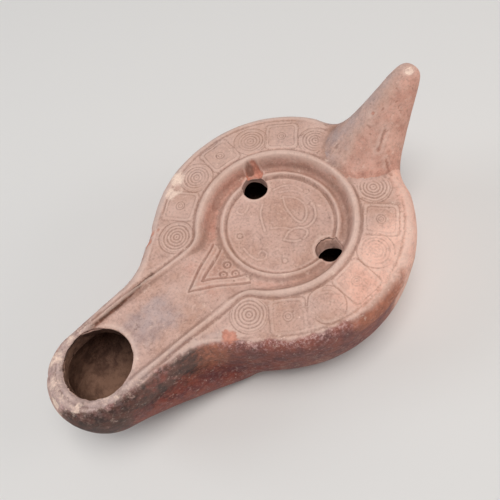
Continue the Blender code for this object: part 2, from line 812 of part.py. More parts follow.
def handle_patches():
    """Oval sections between the handle's front and back edges."""
    steps = np.linspace(0.0, 1.0, HANDLE_RINGS + 1)[:-1, None]
    shares = 1.0 - (1.0 - steps) ** HANDLE_CROWDING
    tip = (BODY_RADIUS + HANDLE_OVERHANG, SHOULDER_HEIGHT + HANDLE_HEIGHT)
    front = curve_points((BODY_RADIUS - HANDLE_SPREAD, SHOULDER_HEIGHT), FRONT_BENDS, tip, shares)
    low_back = (BODY_RADIUS - HANDLE_KEEL_INSET, HANDLE_KEEL_HEIGHT)
    back = curve_points(low_back, BACK_BENDS, tip, shares)
    width = mix(HANDLE_TIP_HALF_WIDTH, HANDLE_ROOT_HALF_WIDTH, (1.0 - shares) ** HANDLE_TAPER)
    width = width * np.sqrt(1.0 - shares ** HANDLE_ROUNDNESS)
    angle = np.arange(HANDLE_SIDES) * 2 * math.pi / HANDLE_SIDES
    rings = []
    for front_edge, back_edge, half_width in zip(front, back, width):
        middle, half_depth = (front_edge + back_edge) / 2, (back_edge - front_edge) / 2
        plane = middle + half_depth * np.sin(angle)[:, None]
        rings.append(np.column_stack([half_width * np.cos(angle), plane]))
    patches = [strip(lower, upper, outwards=True) for lower, upper in zip(rings, rings[1:])]
    top = rings[-1]
    tip_fan = (np.concatenate([top, [(0.0, *tip)]]), cap(top, upwards=True)[1])
    return patches + [tip_fan, cap(rings[0], upwards=False)]


def plan_middle(patches):
    """Middle of the plan's bounding box."""
    low = np.min([corners.min(axis=0) for corners, _ in patches], axis=0)
    high = np.max([corners.max(axis=0) for corners, _ in patches], axis=0)
    return np.array([(low[0] + high[0]) / 2, (low[1] + high[1]) / 2, 0.0])


def solid(name, patches, middle, material):
    """Object of one closed mesh made of patches that share their borders."""
    building = bmesh.new()
    for corners, faces in patches:
        made = [building.verts.new(corner - middle) for corner in corners]
        for face in faces:
            building.faces.new([made[index] for index in face])
    bmesh.ops.remove_doubles(building, verts=building.verts, dist=2e-6)
    loose = [vertex for vertex in building.verts if not vertex.link_faces]
    bmesh.ops.delete(building, geom=loose, context="VERTS")
    mesh = bpy.data.meshes.new(name)
    building.to_mesh(mesh)
    building.free()
    mesh.materials.append(material)
    item = bpy.data.objects.new(name, mesh)
    bpy.context.scene.collection.objects.link(item)
    return item


def combine(target, operation, tool):
    """Joins a helper solid to the target or cuts it away, and hides the helper."""
    step = target.modifiers.new(tool.name, "BOOLEAN")
    step.operation = operation
    step.solver = "EXACT"
    step.object = tool
    tool.hide_render = True
    tool.display_type = "WIRE"


def build():
    clear_scene()
    material = clay()
    body, handle = outer_patches(), handle_patches()
    middle = plan_middle(body + handle)
    lamp = solid("lamp", body, middle, material)
    combine(lamp, "UNION", solid("handle_form", handle, middle, material))
    combine(lamp, "DIFFERENCE", solid("hollow_form", hollow_patches(), middle, material))


build()
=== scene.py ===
"""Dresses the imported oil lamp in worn, slipped and sooted clay, with a floor, light and camera.

The lamp's form follows the same plan as its solid: arcs and straights about the centre of
the sunken disc, with the nozzle at -Y and the handle at +Y. Lengths are in metres.
"""
import math

import bpy
import bmesh
import numpy as np
from mathutils import Matrix, Vector
from mathutils.geometry import delaunay_2d_cdt
from mathutils.kdtree import KDTree


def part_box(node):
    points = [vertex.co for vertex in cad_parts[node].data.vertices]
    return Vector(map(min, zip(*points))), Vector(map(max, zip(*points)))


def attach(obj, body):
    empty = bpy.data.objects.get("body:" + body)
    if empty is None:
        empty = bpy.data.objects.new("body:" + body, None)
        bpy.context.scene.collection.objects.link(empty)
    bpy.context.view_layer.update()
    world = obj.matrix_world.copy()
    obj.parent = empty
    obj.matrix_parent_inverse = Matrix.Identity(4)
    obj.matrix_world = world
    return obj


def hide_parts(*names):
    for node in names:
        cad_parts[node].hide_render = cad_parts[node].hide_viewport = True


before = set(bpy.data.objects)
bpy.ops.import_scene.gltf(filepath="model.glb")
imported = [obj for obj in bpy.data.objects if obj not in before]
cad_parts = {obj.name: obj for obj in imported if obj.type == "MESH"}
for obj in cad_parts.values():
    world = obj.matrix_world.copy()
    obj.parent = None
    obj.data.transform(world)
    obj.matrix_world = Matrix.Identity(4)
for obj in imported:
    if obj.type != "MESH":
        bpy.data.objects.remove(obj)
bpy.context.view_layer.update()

# Outline of the body and the nozzle, seen from above, at its widest level
BODY_RADIUS = 0.0414
FLANK_ANGLE = math.radians(39.5)
NOZZLE_RADIUS = 0.0153
NOZZLE_LENGTH = 0.0281
NOZZLE_STATION = -(BODY_RADIUS + NOZZLE_LENGTH)
NECK_STATION = -(BODY_RADIUS + 0.21 * NOZZLE_LENGTH)

# Straight flank between the round body and the hollow fillet at the neck. It is shorter
# low down, where the body runs more fully into the nozzle. The fillet takes up at most
# FLANK_SHARE of it.
FLANK_RUN = 0.57 * BODY_RADIUS
NECK_FILLET = 0.0173
LOWER_FLANK_RUN = 0.07 * BODY_RADIUS
LOWER_NECK_FILLET = 0.0600
FLANK_SHARE = 0.95

# Heights above the table
WIDEST_HEIGHT = 0.0264
DISC_HEIGHT = WIDEST_HEIGHT + 0.0031
SHOULDER_HEIGHT = DISC_HEIGHT + 0.0041
NOZZLE_TOP_HEIGHT = SHOULDER_HEIGHT + 0.0010
CHANNEL_HEIGHT = NOZZLE_TOP_HEIGHT - 0.0018
CHANNEL_RISE = 0.045
SHOULDER_SLOPE = 0.090
SHOULDER_LEAN = 0.018
NOZZLE_KEEL_HEIGHT = 0.34 * WIDEST_HEIGHT

# Foot ring and the shallow recess inside it
FOOT_HEIGHT = 0.0012
FOOT_RING_WIDTH = 0.0036
FOOT_RECESS = 0.0008
FOOT_SLANT = 0.0007

# Roundness of the walls below the widest level
BODY_FULLNESS = 3.5
NOZZLE_FULLNESS = 2.8
BASE_SHARE = 0.53
FOOT_OUT = BODY_RADIUS * BASE_SHARE - 2 * FOOT_SLANT
FOOT_IN = FOOT_OUT - FOOT_RING_WIDTH
KEEL_SHARE = 0.16
KEEL_START = -0.77 * BODY_RADIUS
KEEL_END = NOZZLE_STATION - 0.40 * NOZZLE_RADIUS

# Clay thicknesses
WALL = 0.0040
ROOF = 0.0042
FLOOR = 0.0040

# Rounded edge between the shoulder and the side wall
BODY_EDGE = 0.0034
NOZZLE_EDGE = 0.0040

# Ridge in the shape of a keyhole round the disc, the channel and the wick hole
RIDGE_RADIUS = 0.62 * BODY_RADIUS
RIDGE_CENTRE = -0.0012
RIDGE_FILLET = 0.0050
CHANNEL_HALF_WIDTH = 0.80 * NOZZLE_RADIUS
RIDGE_DROP = math.sqrt((RIDGE_RADIUS + RIDGE_FILLET) ** 2 - (CHANNEL_HALF_WIDTH + RIDGE_FILLET) ** 2)
RIDGE_CORNER = RIDGE_CENTRE - RIDGE_DROP
RIDGE_GROOVE = 0.0004
RIDGE_LIP = 0.0006
BODY_CREST = 0.0021
CHANNEL_CREST = 0.0010
BODY_RIDGE_WALL = 0.0016
CHANNEL_RIDGE_WALL = 0.0010

# Sunken disc, the low ring round it and the gutter between ring and ridge
DISC_RADIUS = 0.64 * RIDGE_RADIUS
RING_GROOVE = DISC_RADIUS + 0.0006
RING_INSIDE = RING_GROOVE + 0.0008
RING_OUTSIDE = RING_INSIDE + 0.0008
RING_FOOT = RING_OUTSIDE + 0.0009
RING_RISE = 0.0014
GROOVE_DEPTH = 0.0005
GUTTER_RISE = 0.0004
CHANNEL_RAMP = 0.0100

# Holes
WICK_RADIUS = 0.83 * CHANNEL_HALF_WIDTH
WICK_CENTRE = (-0.0005, NOZZLE_STATION + 0.12 * NOZZLE_RADIUS)
WICK_BEVEL = 0.0008
FILLING_RADIUS = 0.0041
RIGHT_FILLING_CENTRE = (1.04 * DISC_RADIUS, 0.27 * DISC_RADIUS)
LEFT_FILLING_CENTRE = (-0.94 * DISC_RADIUS, 0.18 * DISC_RADIUS)
FILLING_BEVEL = 0.0004

# Impressed stamps: round and square ones by turns along the shoulder
BAND_WIDTH = BODY_RADIUS - RIDGE_RADIUS
BAND_MIDDLE = RIDGE_RADIUS + 0.35 * BAND_WIDTH
CIRCLE_ANGLES = (-56.0, -14.5, 26.0, 66.0)
SQUARE_ANGLES = (-35.5, 5.5, 45.0)
CIRCLE_RADIUS = 0.32 * BAND_WIDTH
CIRCLE_RINGS = 5
CIRCLE_SIZE = CIRCLE_RADIUS * (CIRCLE_RINGS + 0.5) / CIRCLE_RINGS
SQUARE_HALF_SIDE = 0.29 * BAND_WIDTH
SQUARE_RINGS = 3
SQUARE_SIZE = SQUARE_HALF_SIDE * (SQUARE_RINGS + 0.5) / SQUARE_RINGS
SQUARENESS = 8

# Double chevron and three ringlets on the panel below the disc: the chevrons' apexes lie
# these lengths in front of the ring, their arms end these lengths sideways and forward
CHEVRON_APEXES = (0.0159, 0.0107)
CHEVRON_ENDS = ((0.0088, 0.0004), (0.0060, -0.0006))
CHEVRON_WIDTH = 0.0009
CHEVRON_DEPTH = 0.00045
RINGLET_PLACES = ((-0.0003, 0.0016), (0.0037, 0.0016), (0.0019, 0.0046))
RINGLET_RADIUS = 0.0011
CHEVRON_GROOVE = 0.62 * CHEVRON_WIDTH
RINGLET_SIZE = 1.4 * RINGLET_RADIUS
RINGLET_DEPTH = 0.7 * CHEVRON_DEPTH

# Solid handle, leaning back from the shoulder. Its tip lies this far above the shoulder
# and this far behind the body, and its two edges start on the shoulder and low on the back.
HANDLE_HEIGHT = 0.0204
HANDLE_OVERHANG = 0.0140
HANDLE_SPREAD = 0.0200
HANDLE_KEEL_INSET = 0.0064
HANDLE_KEEL_HEIGHT = 0.34 * WIDEST_HEIGHT
HANDLE_ROOT_HALF_WIDTH = 0.0215
HANDLE_TIP_HALF_WIDTH = 0.0052

# The handle's edges bend towards these shares of the way from their start to the tip
FRONT_BENDS = ((0.46, 0.15), (0.70, 1.14))
BACK_BENDS = ((0.54, 0.28), (1.12, 0.92))
HANDLE_TAPER = 2.5
HANDLE_ROUNDNESS = 5.0
HANDLE_CROWDING = 1.5

# Fineness of the mesh: loops along the outlines and spacings of the points between them, for
# the zones of the top (plain clay, relief and disc), the underside and the ceiling
OUTLINE_STEPS = (90, 12, 30, 24, 42)
HOLLOW_STEPS = (30, 4, 10, 8, 14)
RIDGE_STEPS = (2, 2, 2, 2)
EDGE_STEP = 7.5
WALL_STEP = 3.0
HOLLOW_WALL_STEP = 7.5
CEILING_STEP = 15.0
ZONE_SPACINGS = (0.00050, 0.00027, 0.00036)
UNDERSIDE_SPACING = 0.0013
CEILING_SPACING = 0.0022
WICK_SIDES = 120
FILLING_SIDES = 56
SHAFT_STEP = 0.0005
HANDLE_SIDES = 150
HANDLE_RINGS = 110
FOOT_SIDES = 160
FOOT_LOOPS = 4
PLAN_TOLERANCE = 0.00002
JITTER = 0.22
WELD = 0.000004
RIM_MARGIN = 0.001
NOISE_VALUES = 4096

# Rectangle that holds the whole plan, and a length greater than any gap in it
PLAN_BOX = ((-BODY_RADIUS, NOZZLE_STATION - NOZZLE_RADIUS), (BODY_RADIUS, BODY_RADIUS))
FAR = 1.0

# Zones where the finest points are needed: reach round a stamp and past a broken place, and
# size of the panel in front of the disc
STAMP_ZONE = 0.0060
PIT_ZONE = 0.0012
PANEL_HALF_WIDTH = 0.0098
PANEL_LENGTH = 0.0170

# Worn relief: pads, rings and borders of the stamps, chevrons, groove of the band and ridge
PAD_HEIGHT = 0.00026
PAD_EDGE = 0.00030
RING_DEPTH = 0.00018
BORDER_DEPTH = 0.00009
BORDER_GAP = 0.00075
STAMP_WOBBLE = 0.00014
OUTLINE_DEPTH = 0.00020
OUTLINE_WIDTH = 0.00022
FILLING_LEAN = (0.0017, -0.0008)
EYE_RADIUS = 0.00175
EYE_RINGS = 2
CHEVRON_BAND = 0.00016
BAND_GROOVE_INSET = 0.0042
BAND_GROOVE_WIDTH = 0.0005
BAND_GROOVE_DEPTH = 0.00022
WORN_RIDGE_RISE = 0.00085
RIDGE_ZONE = 0.0021

# Worn lines of a plain scroll ornament on the disc: points of each stroke, in millimetres
STROKES = (
    ((-6.5, 7.2), (-3.4, 9.6), (0.6, 9.9), (3.8, 7.6), (4.4, 4.9), (1.2, 4.3), (-3.4, 5.3),
     (-6.4, 7.0)),
    ((-8.6, 7.4), (-5.4, 11.2), (0.8, 12.3), (5.8, 9.6), (6.9, 5.6), (4.9, 2.6)),
    ((5.2, -3.0), (4.2, 0.2), (5.2, 3.0), (7.8, 4.2), (9.0, 2.0), (8.0, -0.8), (5.4, -2.9)),
    ((4.3, 1.2), (1.6, -0.6), (-0.6, -3.2)),
    ((-9.0, 0.6), (-7.4, -1.6), (-4.8, -3.4), (-1.2, -5.2)),
    ((-13.4, 0.4), (-12.4, -2.2), (-11.0, -4.4), (-11.0, -6.6), (-12.6, -7.0), (-13.4, -5.8),
     (-12.6, -5.0)),
    ((-1.2, -13.8), (1.8, -14.0), (4.6, -13.2), (5.9, -11.4), (5.0, -9.9), (3.2, -10.3), (3.3, -11.6)),
    ((-10.6, 6.6), (-9.4, 10.2), (-6.8, 12.6), (-4.2, 13.0)),
)
DISC_RINGLETS = ((-0.0054, -0.0119), (-0.0028, 0.0137), (0.0106, -0.0075))
DISC_RINGLET_RADIUS = 0.0013
STROKE_WIDTH = 0.00042
STROKE_HEIGHT = 0.00011
DISC_RINGLET_HEIGHT = 1.4 * STROKE_HEIGHT

# Broken places in the roof: centre, half sizes, turn and depth
PITS = (
    ((-0.0193, 0.0059), (0.0031, 0.0030), -0.30, 0.0013),
    ((-0.0211, 0.0057), (0.0009, 0.0017), -0.30, 0.0011),
)
PIT_EDGE = (0.80, 1.00)
PIT_ROUGHNESS = 0.00035

# Flakes of slip and clay that came off: centre, radius, depth and how fresh the clay looks
FLAKES = (
    ((0.0188, -0.0353, 0.0330), 0.0021, 0.00030, 0.8),
    ((0.0204, -0.0352, 0.0315), 0.0013, 0.00025, 0.8),
    ((0.0170, -0.0352, 0.0332), 0.0012, 0.00020, 0.8),
    ((-0.0250, -0.0322, 0.0290), 0.0034, 0.00050, 0.9),
    ((-0.0226, -0.0348, 0.0300), 0.0024, 0.00040, 0.9),
    ((-0.0008, 0.0400, 0.0456), 0.0006, 0.00020, 0.5),
    ((0.0119, -0.0269, 0.0350), 0.0007, 0.00020, 0.6),
    ((0.0004, 0.0530, 0.0541), 0.0014, 0.00030, 0.0),
    ((0.0300, 0.0245, 0.0322), 0.0008, 0.00020, 0.0),
    ((0.0005, -0.0840, 0.0330), 0.0022, 0.00045, 0.0),
    ((-0.0090, -0.0815, 0.0320), 0.0017, 0.00040, 0.0),
    ((0.0080, -0.0800, 0.0350), 0.0015, 0.00035, 0.0),
    ((-0.0020, -0.0842, 0.0345), 0.0011, 0.00035, 0.0),
    ((0.0115, -0.0775, 0.0355), 0.0010, 0.00025, 0.0),
)
FLAKE_EDGE = (0.80, 1.00)

# Creases in the hand-joined clay: points in millimetres
CREASES = (
    ((4.9, 39.5, 43.0), (5.7, 37.4, 40.8), (6.5, 35.3, 38.7)),
    ((8.9, 36.0, 36.4), (11.0, 35.2, 34.8), (13.2, 34.5, 33.2)),
    ((3.2, 24.7, 33.2), (4.7, 27.5, 33.6), (7.2, 30.6, 34.0), (9.4, 33.5, 34.4)),
    ((-5.2, 28.7, 36.0), (-5.0, 31.0, 38.0), (-4.7, 33.4, 40.0)),
    ((-14.7, 32.0, 32.4), (-13.2, 34.0, 32.6), (-11.5, 36.0, 33.6)),
    ((12.9, -37.8, 34.4), (12.8, -32.8, 34.3), (12.3, -27.8, 34.2)),
    ((10.6, -24.2, 33.6), (9.8, -22.0, 33.0), (8.0, -20.6, 32.4)),
    ((-11.6, -45.0, 34.6), (-10.9, -50.0, 34.4), (-10.4, -55.0, 34.4), (-10.2, -60.0, 34.4)),
)
CREASE_WIDTH = 0.0007
CREASE_DEPTH = 0.00028
CREASE_WOBBLE = 0.00012

# Slow and quick unevenness of the hand-finished surface: size and height
UNEVENNESS = ((0.022, 0.00022), (0.009, 0.00010), (0.0038, 0.00005), (0.0015, 0.000025))
INSIDE_UNEVENNESS = ((0.009, 0.00035), (0.0035, 0.00025), (0.0014, 0.00008))
POCK_SIZE = 0.0011
POCK_SHARE = 0.72
POCK_DEPTH = 0.00016

# Marks of the mesh's faces while it is built: lids of the holes, handle and inside
LID, HANDLE, INSIDE = 1, 2, 3

# How far and how often the handle's joint is smoothed, first all round it and then more
# strongly outside the shoulder, between these distances from the disc's centre
JOINT_REACH = 0.0030
JOINT_ROUNDS = 14
OUTER_JOINT_REACH = 0.0090
OUTER_JOINT_ROUNDS = 110
OUTER_JOINT = (0.0365, 0.0395)

# Dark slip of the side: where it begins inside the widest line, how much higher it reaches on
# the right, how raggedly it begins, and how far it fades out above the widest level
SLIP_INSET = 0.0034
SLIP_RISE = 0.0014
SLIP_EDGE = (-0.0012, 0.0008)
SLIP_FADE = 0.004

# Line along the foot of the ridge where the clay is brick red, and the rusty line inside the
# widest line: places and width
RIDGE_FOOT = 0.0048
RUSTY_INSET = 0.0014
RUSTY_WIDTH = 0.0024

# Painted shade, with some dirt, along the left foot of the channel's ridge: its place, where it
# starts to lean and by how much, and its edge
FOOT_LINE = -0.0104
FOOT_LINE_BEND = -0.0530
FOOT_LINE_LEAN = 0.10
FOOT_LINE_EDGE = (0.0011, 0.0003)

# Fresh clay of the broken place and the painted shadow in its recess: depth and reach in half sizes
CUT_DEPTH = (0.0003, 0.0008)
CUT_REACH = (1.7, 1.5)
RECESS_REACH = (1.7, 1.1)

# Unslipped clay of the inside: where a filling hole's shaft lies, how far below the rim of the
# wick hole and of a shaft the clay starts and fades in, and where the painted shade at its far end lies
SHAFT_RADIUS = (0.030, 0.026)
INNER_START = (0.0001, 0.0034)
INNER_FADE = (0.0014, 0.0030)
INNER_FAR_SHADE = (-0.074, -0.060)

# Dirt with painted shade in the hollows, and wear on the rises: rounds of smoothing that a hollow
# or a rise is measured against, and the depths and heights at which each shows in full
FINE_ROUNDS, BROAD_ROUNDS = 3, 14
FINE_DEPTH, BROAD_DEPTH = 0.00004, 0.00022
FINE_RISE, BROAD_RISE = 0.00004, 0.00025

# Chalky left shoulder outside the ridge, and the burnt rim of the wick hole: distance of its
# middle from the hole, and its edge
CHALKY_RADIUS = 0.0265
BURNT_MIDDLE = 0.0020
BURNT_EDGE = (0.0048, 0.0022)

# Regions of the clay: for each measure of a point, the values between which the region starts,
# and for a band also those between which it ends
RIGHT = ("x", (0.0, 0.010))
REGIONS = {
    "raised slip": (RIGHT, ("y", (-0.012, 0.002))),
    "slip": (("x", (-0.016, -0.004)),),
    "slipless tip": (("ragged_y", (-0.068, -0.078)), ("z", (0.024, 0.030))),
    "salmon": (RIGHT, ("wavy_y", (0.002, 0.012))),
    "sooty nozzle": (RIGHT, ("y", (-0.036, -0.056)), ("z", (0.016, 0.030))),
    "sooty tip": (RIGHT, ("y", (-0.036, -0.056)), ("ragged_y", (-0.068, -0.078))),
    "sooty flank": (("x", (0.0, 0.010), (0.030, 0.020)), ("y", (-0.020, -0.032)), ("z", (0.016, 0.030))),
    "rusty edge": (RIGHT, ("y", (-0.014, 0.000), (0.022, 0.004))),
    # a warmer tone with painted light on the right side, its edge and the handle's right half
    "warm lit side": (("wavy_x", (0.017, 0.033)), ("y", (-0.018, 0.006))),
    "warm lit edge": (RIGHT, ("y", (-0.006, 0.010)), ("inset", (0.0095, 0.0010))),
    "warm lit handle": (("wavy_x", (-0.003, 0.005)),),
    "left edge": (("x", (-0.002, -0.007)), ("y", (-0.022, -0.034)), ("inset", (0.0060, 0.0015))),
    # painted cool rim light on the far left, along the left edges and on the handle's left half
    "left rim light": (("wavier_x", (-0.026, -0.038)),),
    "edge rim light": (("x", (-0.008, -0.016)), ("inset", (0.0045, 0.0020))),
    "handle rim light": (("x", (0.003, -0.006)),),
    "channel bloom": (("side", (0.010, 0.003)), ("y", (-0.034, -0.044), (-0.066, -0.056))),
    "right ridge": (("x", (0.0020, 0.0060)), ("y", (-0.026, -0.040)), ("inset", (0.0085, 0.0050))),
    "red ridge": (("off_ridge", (0.0034, 0.0006)), ("y", (-0.030, -0.016))),
    "redder left": (("x", (0.004, -0.010)),),
    "panel": (("side", (0.012, 0.006)), ("y", (-0.036, -0.030), (-0.017, -0.021))),
    "heel": (("x", (-0.003, 0.002), (0.018, 0.010)), ("y", (0.034, 0.027))),
    "handle face": (("wavy_x", (-0.004, 0.004)),),
    "nozzle end": (("y", (-0.070, -0.078)),),
    "foot line": (("y", (-0.036, -0.044), (-0.066, -0.060)),),
    "chalky": (("wavy_x", (-0.014, -0.028)), ("inset", (0.0028, 0.0055))),
    "burnt rim": (("y", (-0.056, -0.068)),),
    "low tip": (RIGHT, ("y", (-0.072, -0.080)), ("z", (0.034, 0.030))),
    "gritty side": (("x", (0.016, 0.026)),),
}

# Round spots: strength, size and centre
SPOTS = {
    "soot": (0.9, 0.0055, (0.0135, -0.0745, 0.0285)),
    "neck": (0.9, 0.0085, (0.0175, -0.0440, 0.0300)),
    "crust": (1.15, 0.0029, (-0.0346, -0.0146)),
    "small crust": (1.0, 0.0022, (-0.0316, -0.0178)),
}

# Finishes that soot hides: by how much, and between which strengths of the soot
SOOTED = (("grit", 0.7, (0.2, 0.8)), ("dust", 0.7, (0.2, 0.8)), ("crust", 0.8, (0.3, 0.8)))

# Linear colours of the clay and of what lies on it
TAN = (0.700, 0.465, 0.390, 1.0)
TAN_DEEP = (0.590, 0.355, 0.275, 1.0)
# Orange is a warmer clay tone that also carries painted light on the right side
ORANGE = (0.960, 0.600, 0.480, 1.0)
ORANGE_DEEP = (0.850, 0.470, 0.360, 1.0)
# Mauve is a greyish bloom that also carries painted cool rim light on the left
MAUVE = (0.570, 0.430, 0.405, 1.0)
MAUVE_DEEP = (0.450, 0.315, 0.290, 1.0)
RED = (0.740, 0.390, 0.300, 1.0)
RED_DEEP = (0.600, 0.290, 0.215, 1.0)
SLIP = (0.290, 0.066, 0.044, 1.0)
SLIP_PURPLE = (0.145, 0.040, 0.042, 1.0)
SLIP_LIGHT = (0.720, 0.440, 0.415, 1.0)
RUST = (0.500, 0.170, 0.095, 1.0)
RUST_DEEP = (0.330, 0.105, 0.060, 1.0)
SOOT = (0.036, 0.022, 0.021, 1.0)
SOOT_BROWN = (0.130, 0.050, 0.038, 1.0)
# Dirt colour, also laid as painted shade in hollows, along the ridge's left foot and in the pit's recess
DIRT_AND_SHADE = (0.170, 0.090, 0.062, 1.0)
PALE = (0.860, 0.640, 0.540, 1.0)
CRUST = (1.000, 0.780, 0.640, 1.0)
CRUST_DEEP = (0.820, 0.600, 0.500, 1.0)
FRESH = (0.760, 0.330, 0.235, 1.0)
FRESH_DEEP = (0.520, 0.200, 0.135, 1.0)
INNER = (0.330, 0.185, 0.125, 1.0)
# The deeper inner colour also serves as painted shade at the far end of the inside
INNER_DEEP = (0.110, 0.056, 0.040, 1.0)
GREY = (0.60, 0.57, 0.58, 1.0)

# Coats, laid one over the other where their mask shows: mask, two colours, size of the
# mottling, raggedness of the border and place of the noise
COATS = (
    # warmer tone with painted light on the right side and the handle's right half
    ("warm_and_lit", ORANGE, ORANGE_DEEP, 0.0120, 0.18, 7.0),
    # greyish bloom, with painted cool rim light on the left
    ("bloom_and_rim_light", MAUVE, MAUVE_DEEP, 0.0060, 0.45, 16.0),
    ("red", RED, RED_DEEP, 0.0040, 0.40, 25.0),
    ("slip", SLIP, SLIP_PURPLE, 0.0045, 0.60, 34.0),
    # rust and soot also carry the painted shade along the ridge's left foot
    ("rust", RUST, RUST_DEEP, 0.0026, 0.65, 43.0),
    ("soot", SOOT, SOOT_BROWN, 0.0022, 1.00, 52.0),
)
CRUST_COAT = ("crust", CRUST, CRUST_DEEP, 0.0010, 1.20, 99.0)

# Camera, measured from the table under the disc's centre, for a square picture
CAMERA_AZIMUTH = math.radians(64.11)
CAMERA_ELEVATION = math.radians(62.01)
CAMERA_ROLL = math.radians(-16.40)
CAMERA_DISTANCE = 0.17452
CAMERA_TARGET = (0.00050, -0.01278)
FOCAL_PIXELS = 571.9
PICTURE_PIXELS = 500
SENSOR = 36.0

# Soft square lights: name, direction by the picture's axes (right, up, near), distance,
# size, power and colour
LIGHTS = (
    ("key", (-0.05, 0.42, 1.00), 0.80, 0.40, 3.7, (1.0, 0.97, 0.95)),
    ("left", (-1.00, 0.30, 0.45), 0.80, 0.35, 1.2, (0.92, 0.96, 1.0)),
    ("right", (1.00, 0.30, 0.45), 0.80, 0.35, 1.2, (1.0, 0.96, 0.94)),
)

# Floor and sky
FLOOR_COLOUR = (0.80, 0.79, 0.77, 1.0)
SKY_COLOUR = (0.95, 0.97, 1.0, 1.0)
SKY_STRENGTH = 0.22
FLOOR_REACH = 3.0


def unit(value):
    """Value held between 0 and 1."""
    return np.clip(value, 0.0, 1.0)


def ramp(start, end, value):
    return unit((value - start) / (end - start))


def ease(start, end, value):
    """Smooth change from 0 to 1 as value goes from start to end."""
    share = ramp(start, end, value)
    return share * share * (3.0 - 2.0 * share)


def mix(first, second, share):
    return first + (second - first) * share


class Arc:
    """Round stretch of a plan line. bulge is 1 where it bows outwards, -1 where it bows in."""

    def __init__(self, centre, radius, start, end, bulge):
        self.centre = np.array(centre)
        self.radius = radius
        self.start = start
        self.end = end
        self.bulge = bulge

    def points(self, steps, offset):
        angle = np.linspace(self.start, self.end, steps + 1)
        reach = self.radius + self.bulge * offset
        return self.centre + reach * np.stack([np.cos(angle), np.sin(angle)], axis=1)

    def distance(self, x, y):
        across, along = x - self.centre[0], y - self.centre[1]
        middle = (self.start + self.end) / 2
        span = abs(self.end - self.start) / 2
        turn = np.arctan2(along, across) - middle
        turn = np.clip(np.arctan2(np.sin(turn), np.cos(turn)), -span, span) + middle
        gap_x = across - self.radius * np.cos(turn)
        gap_y = along - self.radius * np.sin(turn)
        side = np.sign(self.bulge * (np.hypot(across, along) - self.radius))
        return side * np.hypot(gap_x, gap_y)


class Straight:
    """Straight stretch of a plan line. Its outer side is on the left of its direction."""

    def __init__(self, start, end):
        self.start = np.array(start)
        self.end = np.array(end)
        self.run = self.end - self.start
        self.length = np.hypot(*self.run)
        self.outward = np.array([-self.run[1], self.run[0]]) / self.length

    def points(self, steps, offset):
        share = np.linspace(0.0, 1.0, steps + 1)[:, None]
        return self.start + self.run * share + self.outward * offset

    def distance(self, x, y):
        across, along = x - self.start[0], y - self.start[1]
        share = (across * self.run[0] + along * self.run[1]) / self.length ** 2
        share = unit(share)
        gap_x = across - self.run[0] * share
        gap_y = along - self.run[1] * share
        side = np.sign(across * self.outward[0] + along * self.outward[1])
        return side * np.hypot(gap_x, gap_y)


class PlanLine:
    """Closed plan line, drawn for the right half from the back to the tip and mirrored."""

    def __init__(self, stretches, steps):
        self.stretches = stretches
        self.steps = steps

    def loop(self, offset):
        """Points round the line, moved outwards by offset, which may change with y."""
        half = []
        for stretch, steps in zip(self.stretches, self.steps):
            plain = stretch.points(steps, 0.0)
            moved = stretch.points(steps, 1.0)
            reach = offset(plain[:, 1]) if callable(offset) else offset
            points = plain + (moved - plain) * np.reshape(reach, (-1, 1))
            half.append(points if not half else points[1:])
        half = np.concatenate(half)
        half[0, 0] = 0.0
        half[-1, 0] = 0.0
        left = half[-2:0:-1] * (-1.0, 1.0)
        return np.concatenate([half, left])

    def distance(self, x, y):
        """Signed distance from the line, positive outside it."""
        best = np.full(np.shape(x), 1.0)
        for stretch in self.stretches:
            gap = stretch.distance(np.abs(x), y)
            best = np.where(np.abs(gap) < np.abs(best), gap, best)
        return best


def tangent_to_circle(point, centre, radius):
    """Unit direction of the line from point that touches the circle on its +X side."""
    to_centre = np.array(centre) - np.array(point)
    reach = np.hypot(*to_centre)
    swing = math.asin(radius / reach)
    heading = math.atan2(to_centre[1], to_centre[0]) + swing
    return np.array([math.cos(heading), math.sin(heading)])


def body_line(flank_run, fillet):
    """Body circle, straight flank, hollow fillet, nozzle side and round nozzle end."""
    flank_end = -FLANK_ANGLE
    touch = BODY_RADIUS * np.array([math.cos(flank_end), math.sin(flank_end)])
    flank = np.array([math.sin(flank_end), -math.cos(flank_end)])
    meeting = touch + flank_run * flank
    end_centre = np.array([0.0, NOZZLE_STATION])
    side = tangent_to_circle(meeting, end_centre, NOZZLE_RADIUS)
    turn = math.acos(float(np.clip(flank @ side, -1.0, 1.0)))
    leg = min(fillet * math.tan(turn / 2), FLANK_SHARE * flank_run)
    fillet = leg / math.tan(turn / 2)
    fillet_start = meeting - leg * flank
    fillet_end = meeting + leg * side
    flank_normal = np.array([-flank[1], flank[0]])
    side_normal = np.array([-side[1], side[0]])
    centre = fillet_start + fillet * flank_normal
    start_angle = math.atan2(-flank_normal[1], -flank_normal[0]) % (2 * math.pi)
    end_angle = math.atan2(-side_normal[1], -side_normal[0]) % (2 * math.pi)
    side_angle = math.atan2(side_normal[1], side_normal[0])
    side_end = end_centre + NOZZLE_RADIUS * side_normal
    stretches = (
        Arc((0.0, 0.0), BODY_RADIUS, math.pi / 2, flank_end, 1),
        Straight(touch, fillet_start),
        Arc(centre, fillet, start_angle, end_angle, -1),
        Straight(fillet_end, side_end),
        Arc(end_centre, NOZZLE_RADIUS, side_angle, -math.pi / 2, 1),
    )
    return PlanLine(stretches, OUTLINE_STEPS)


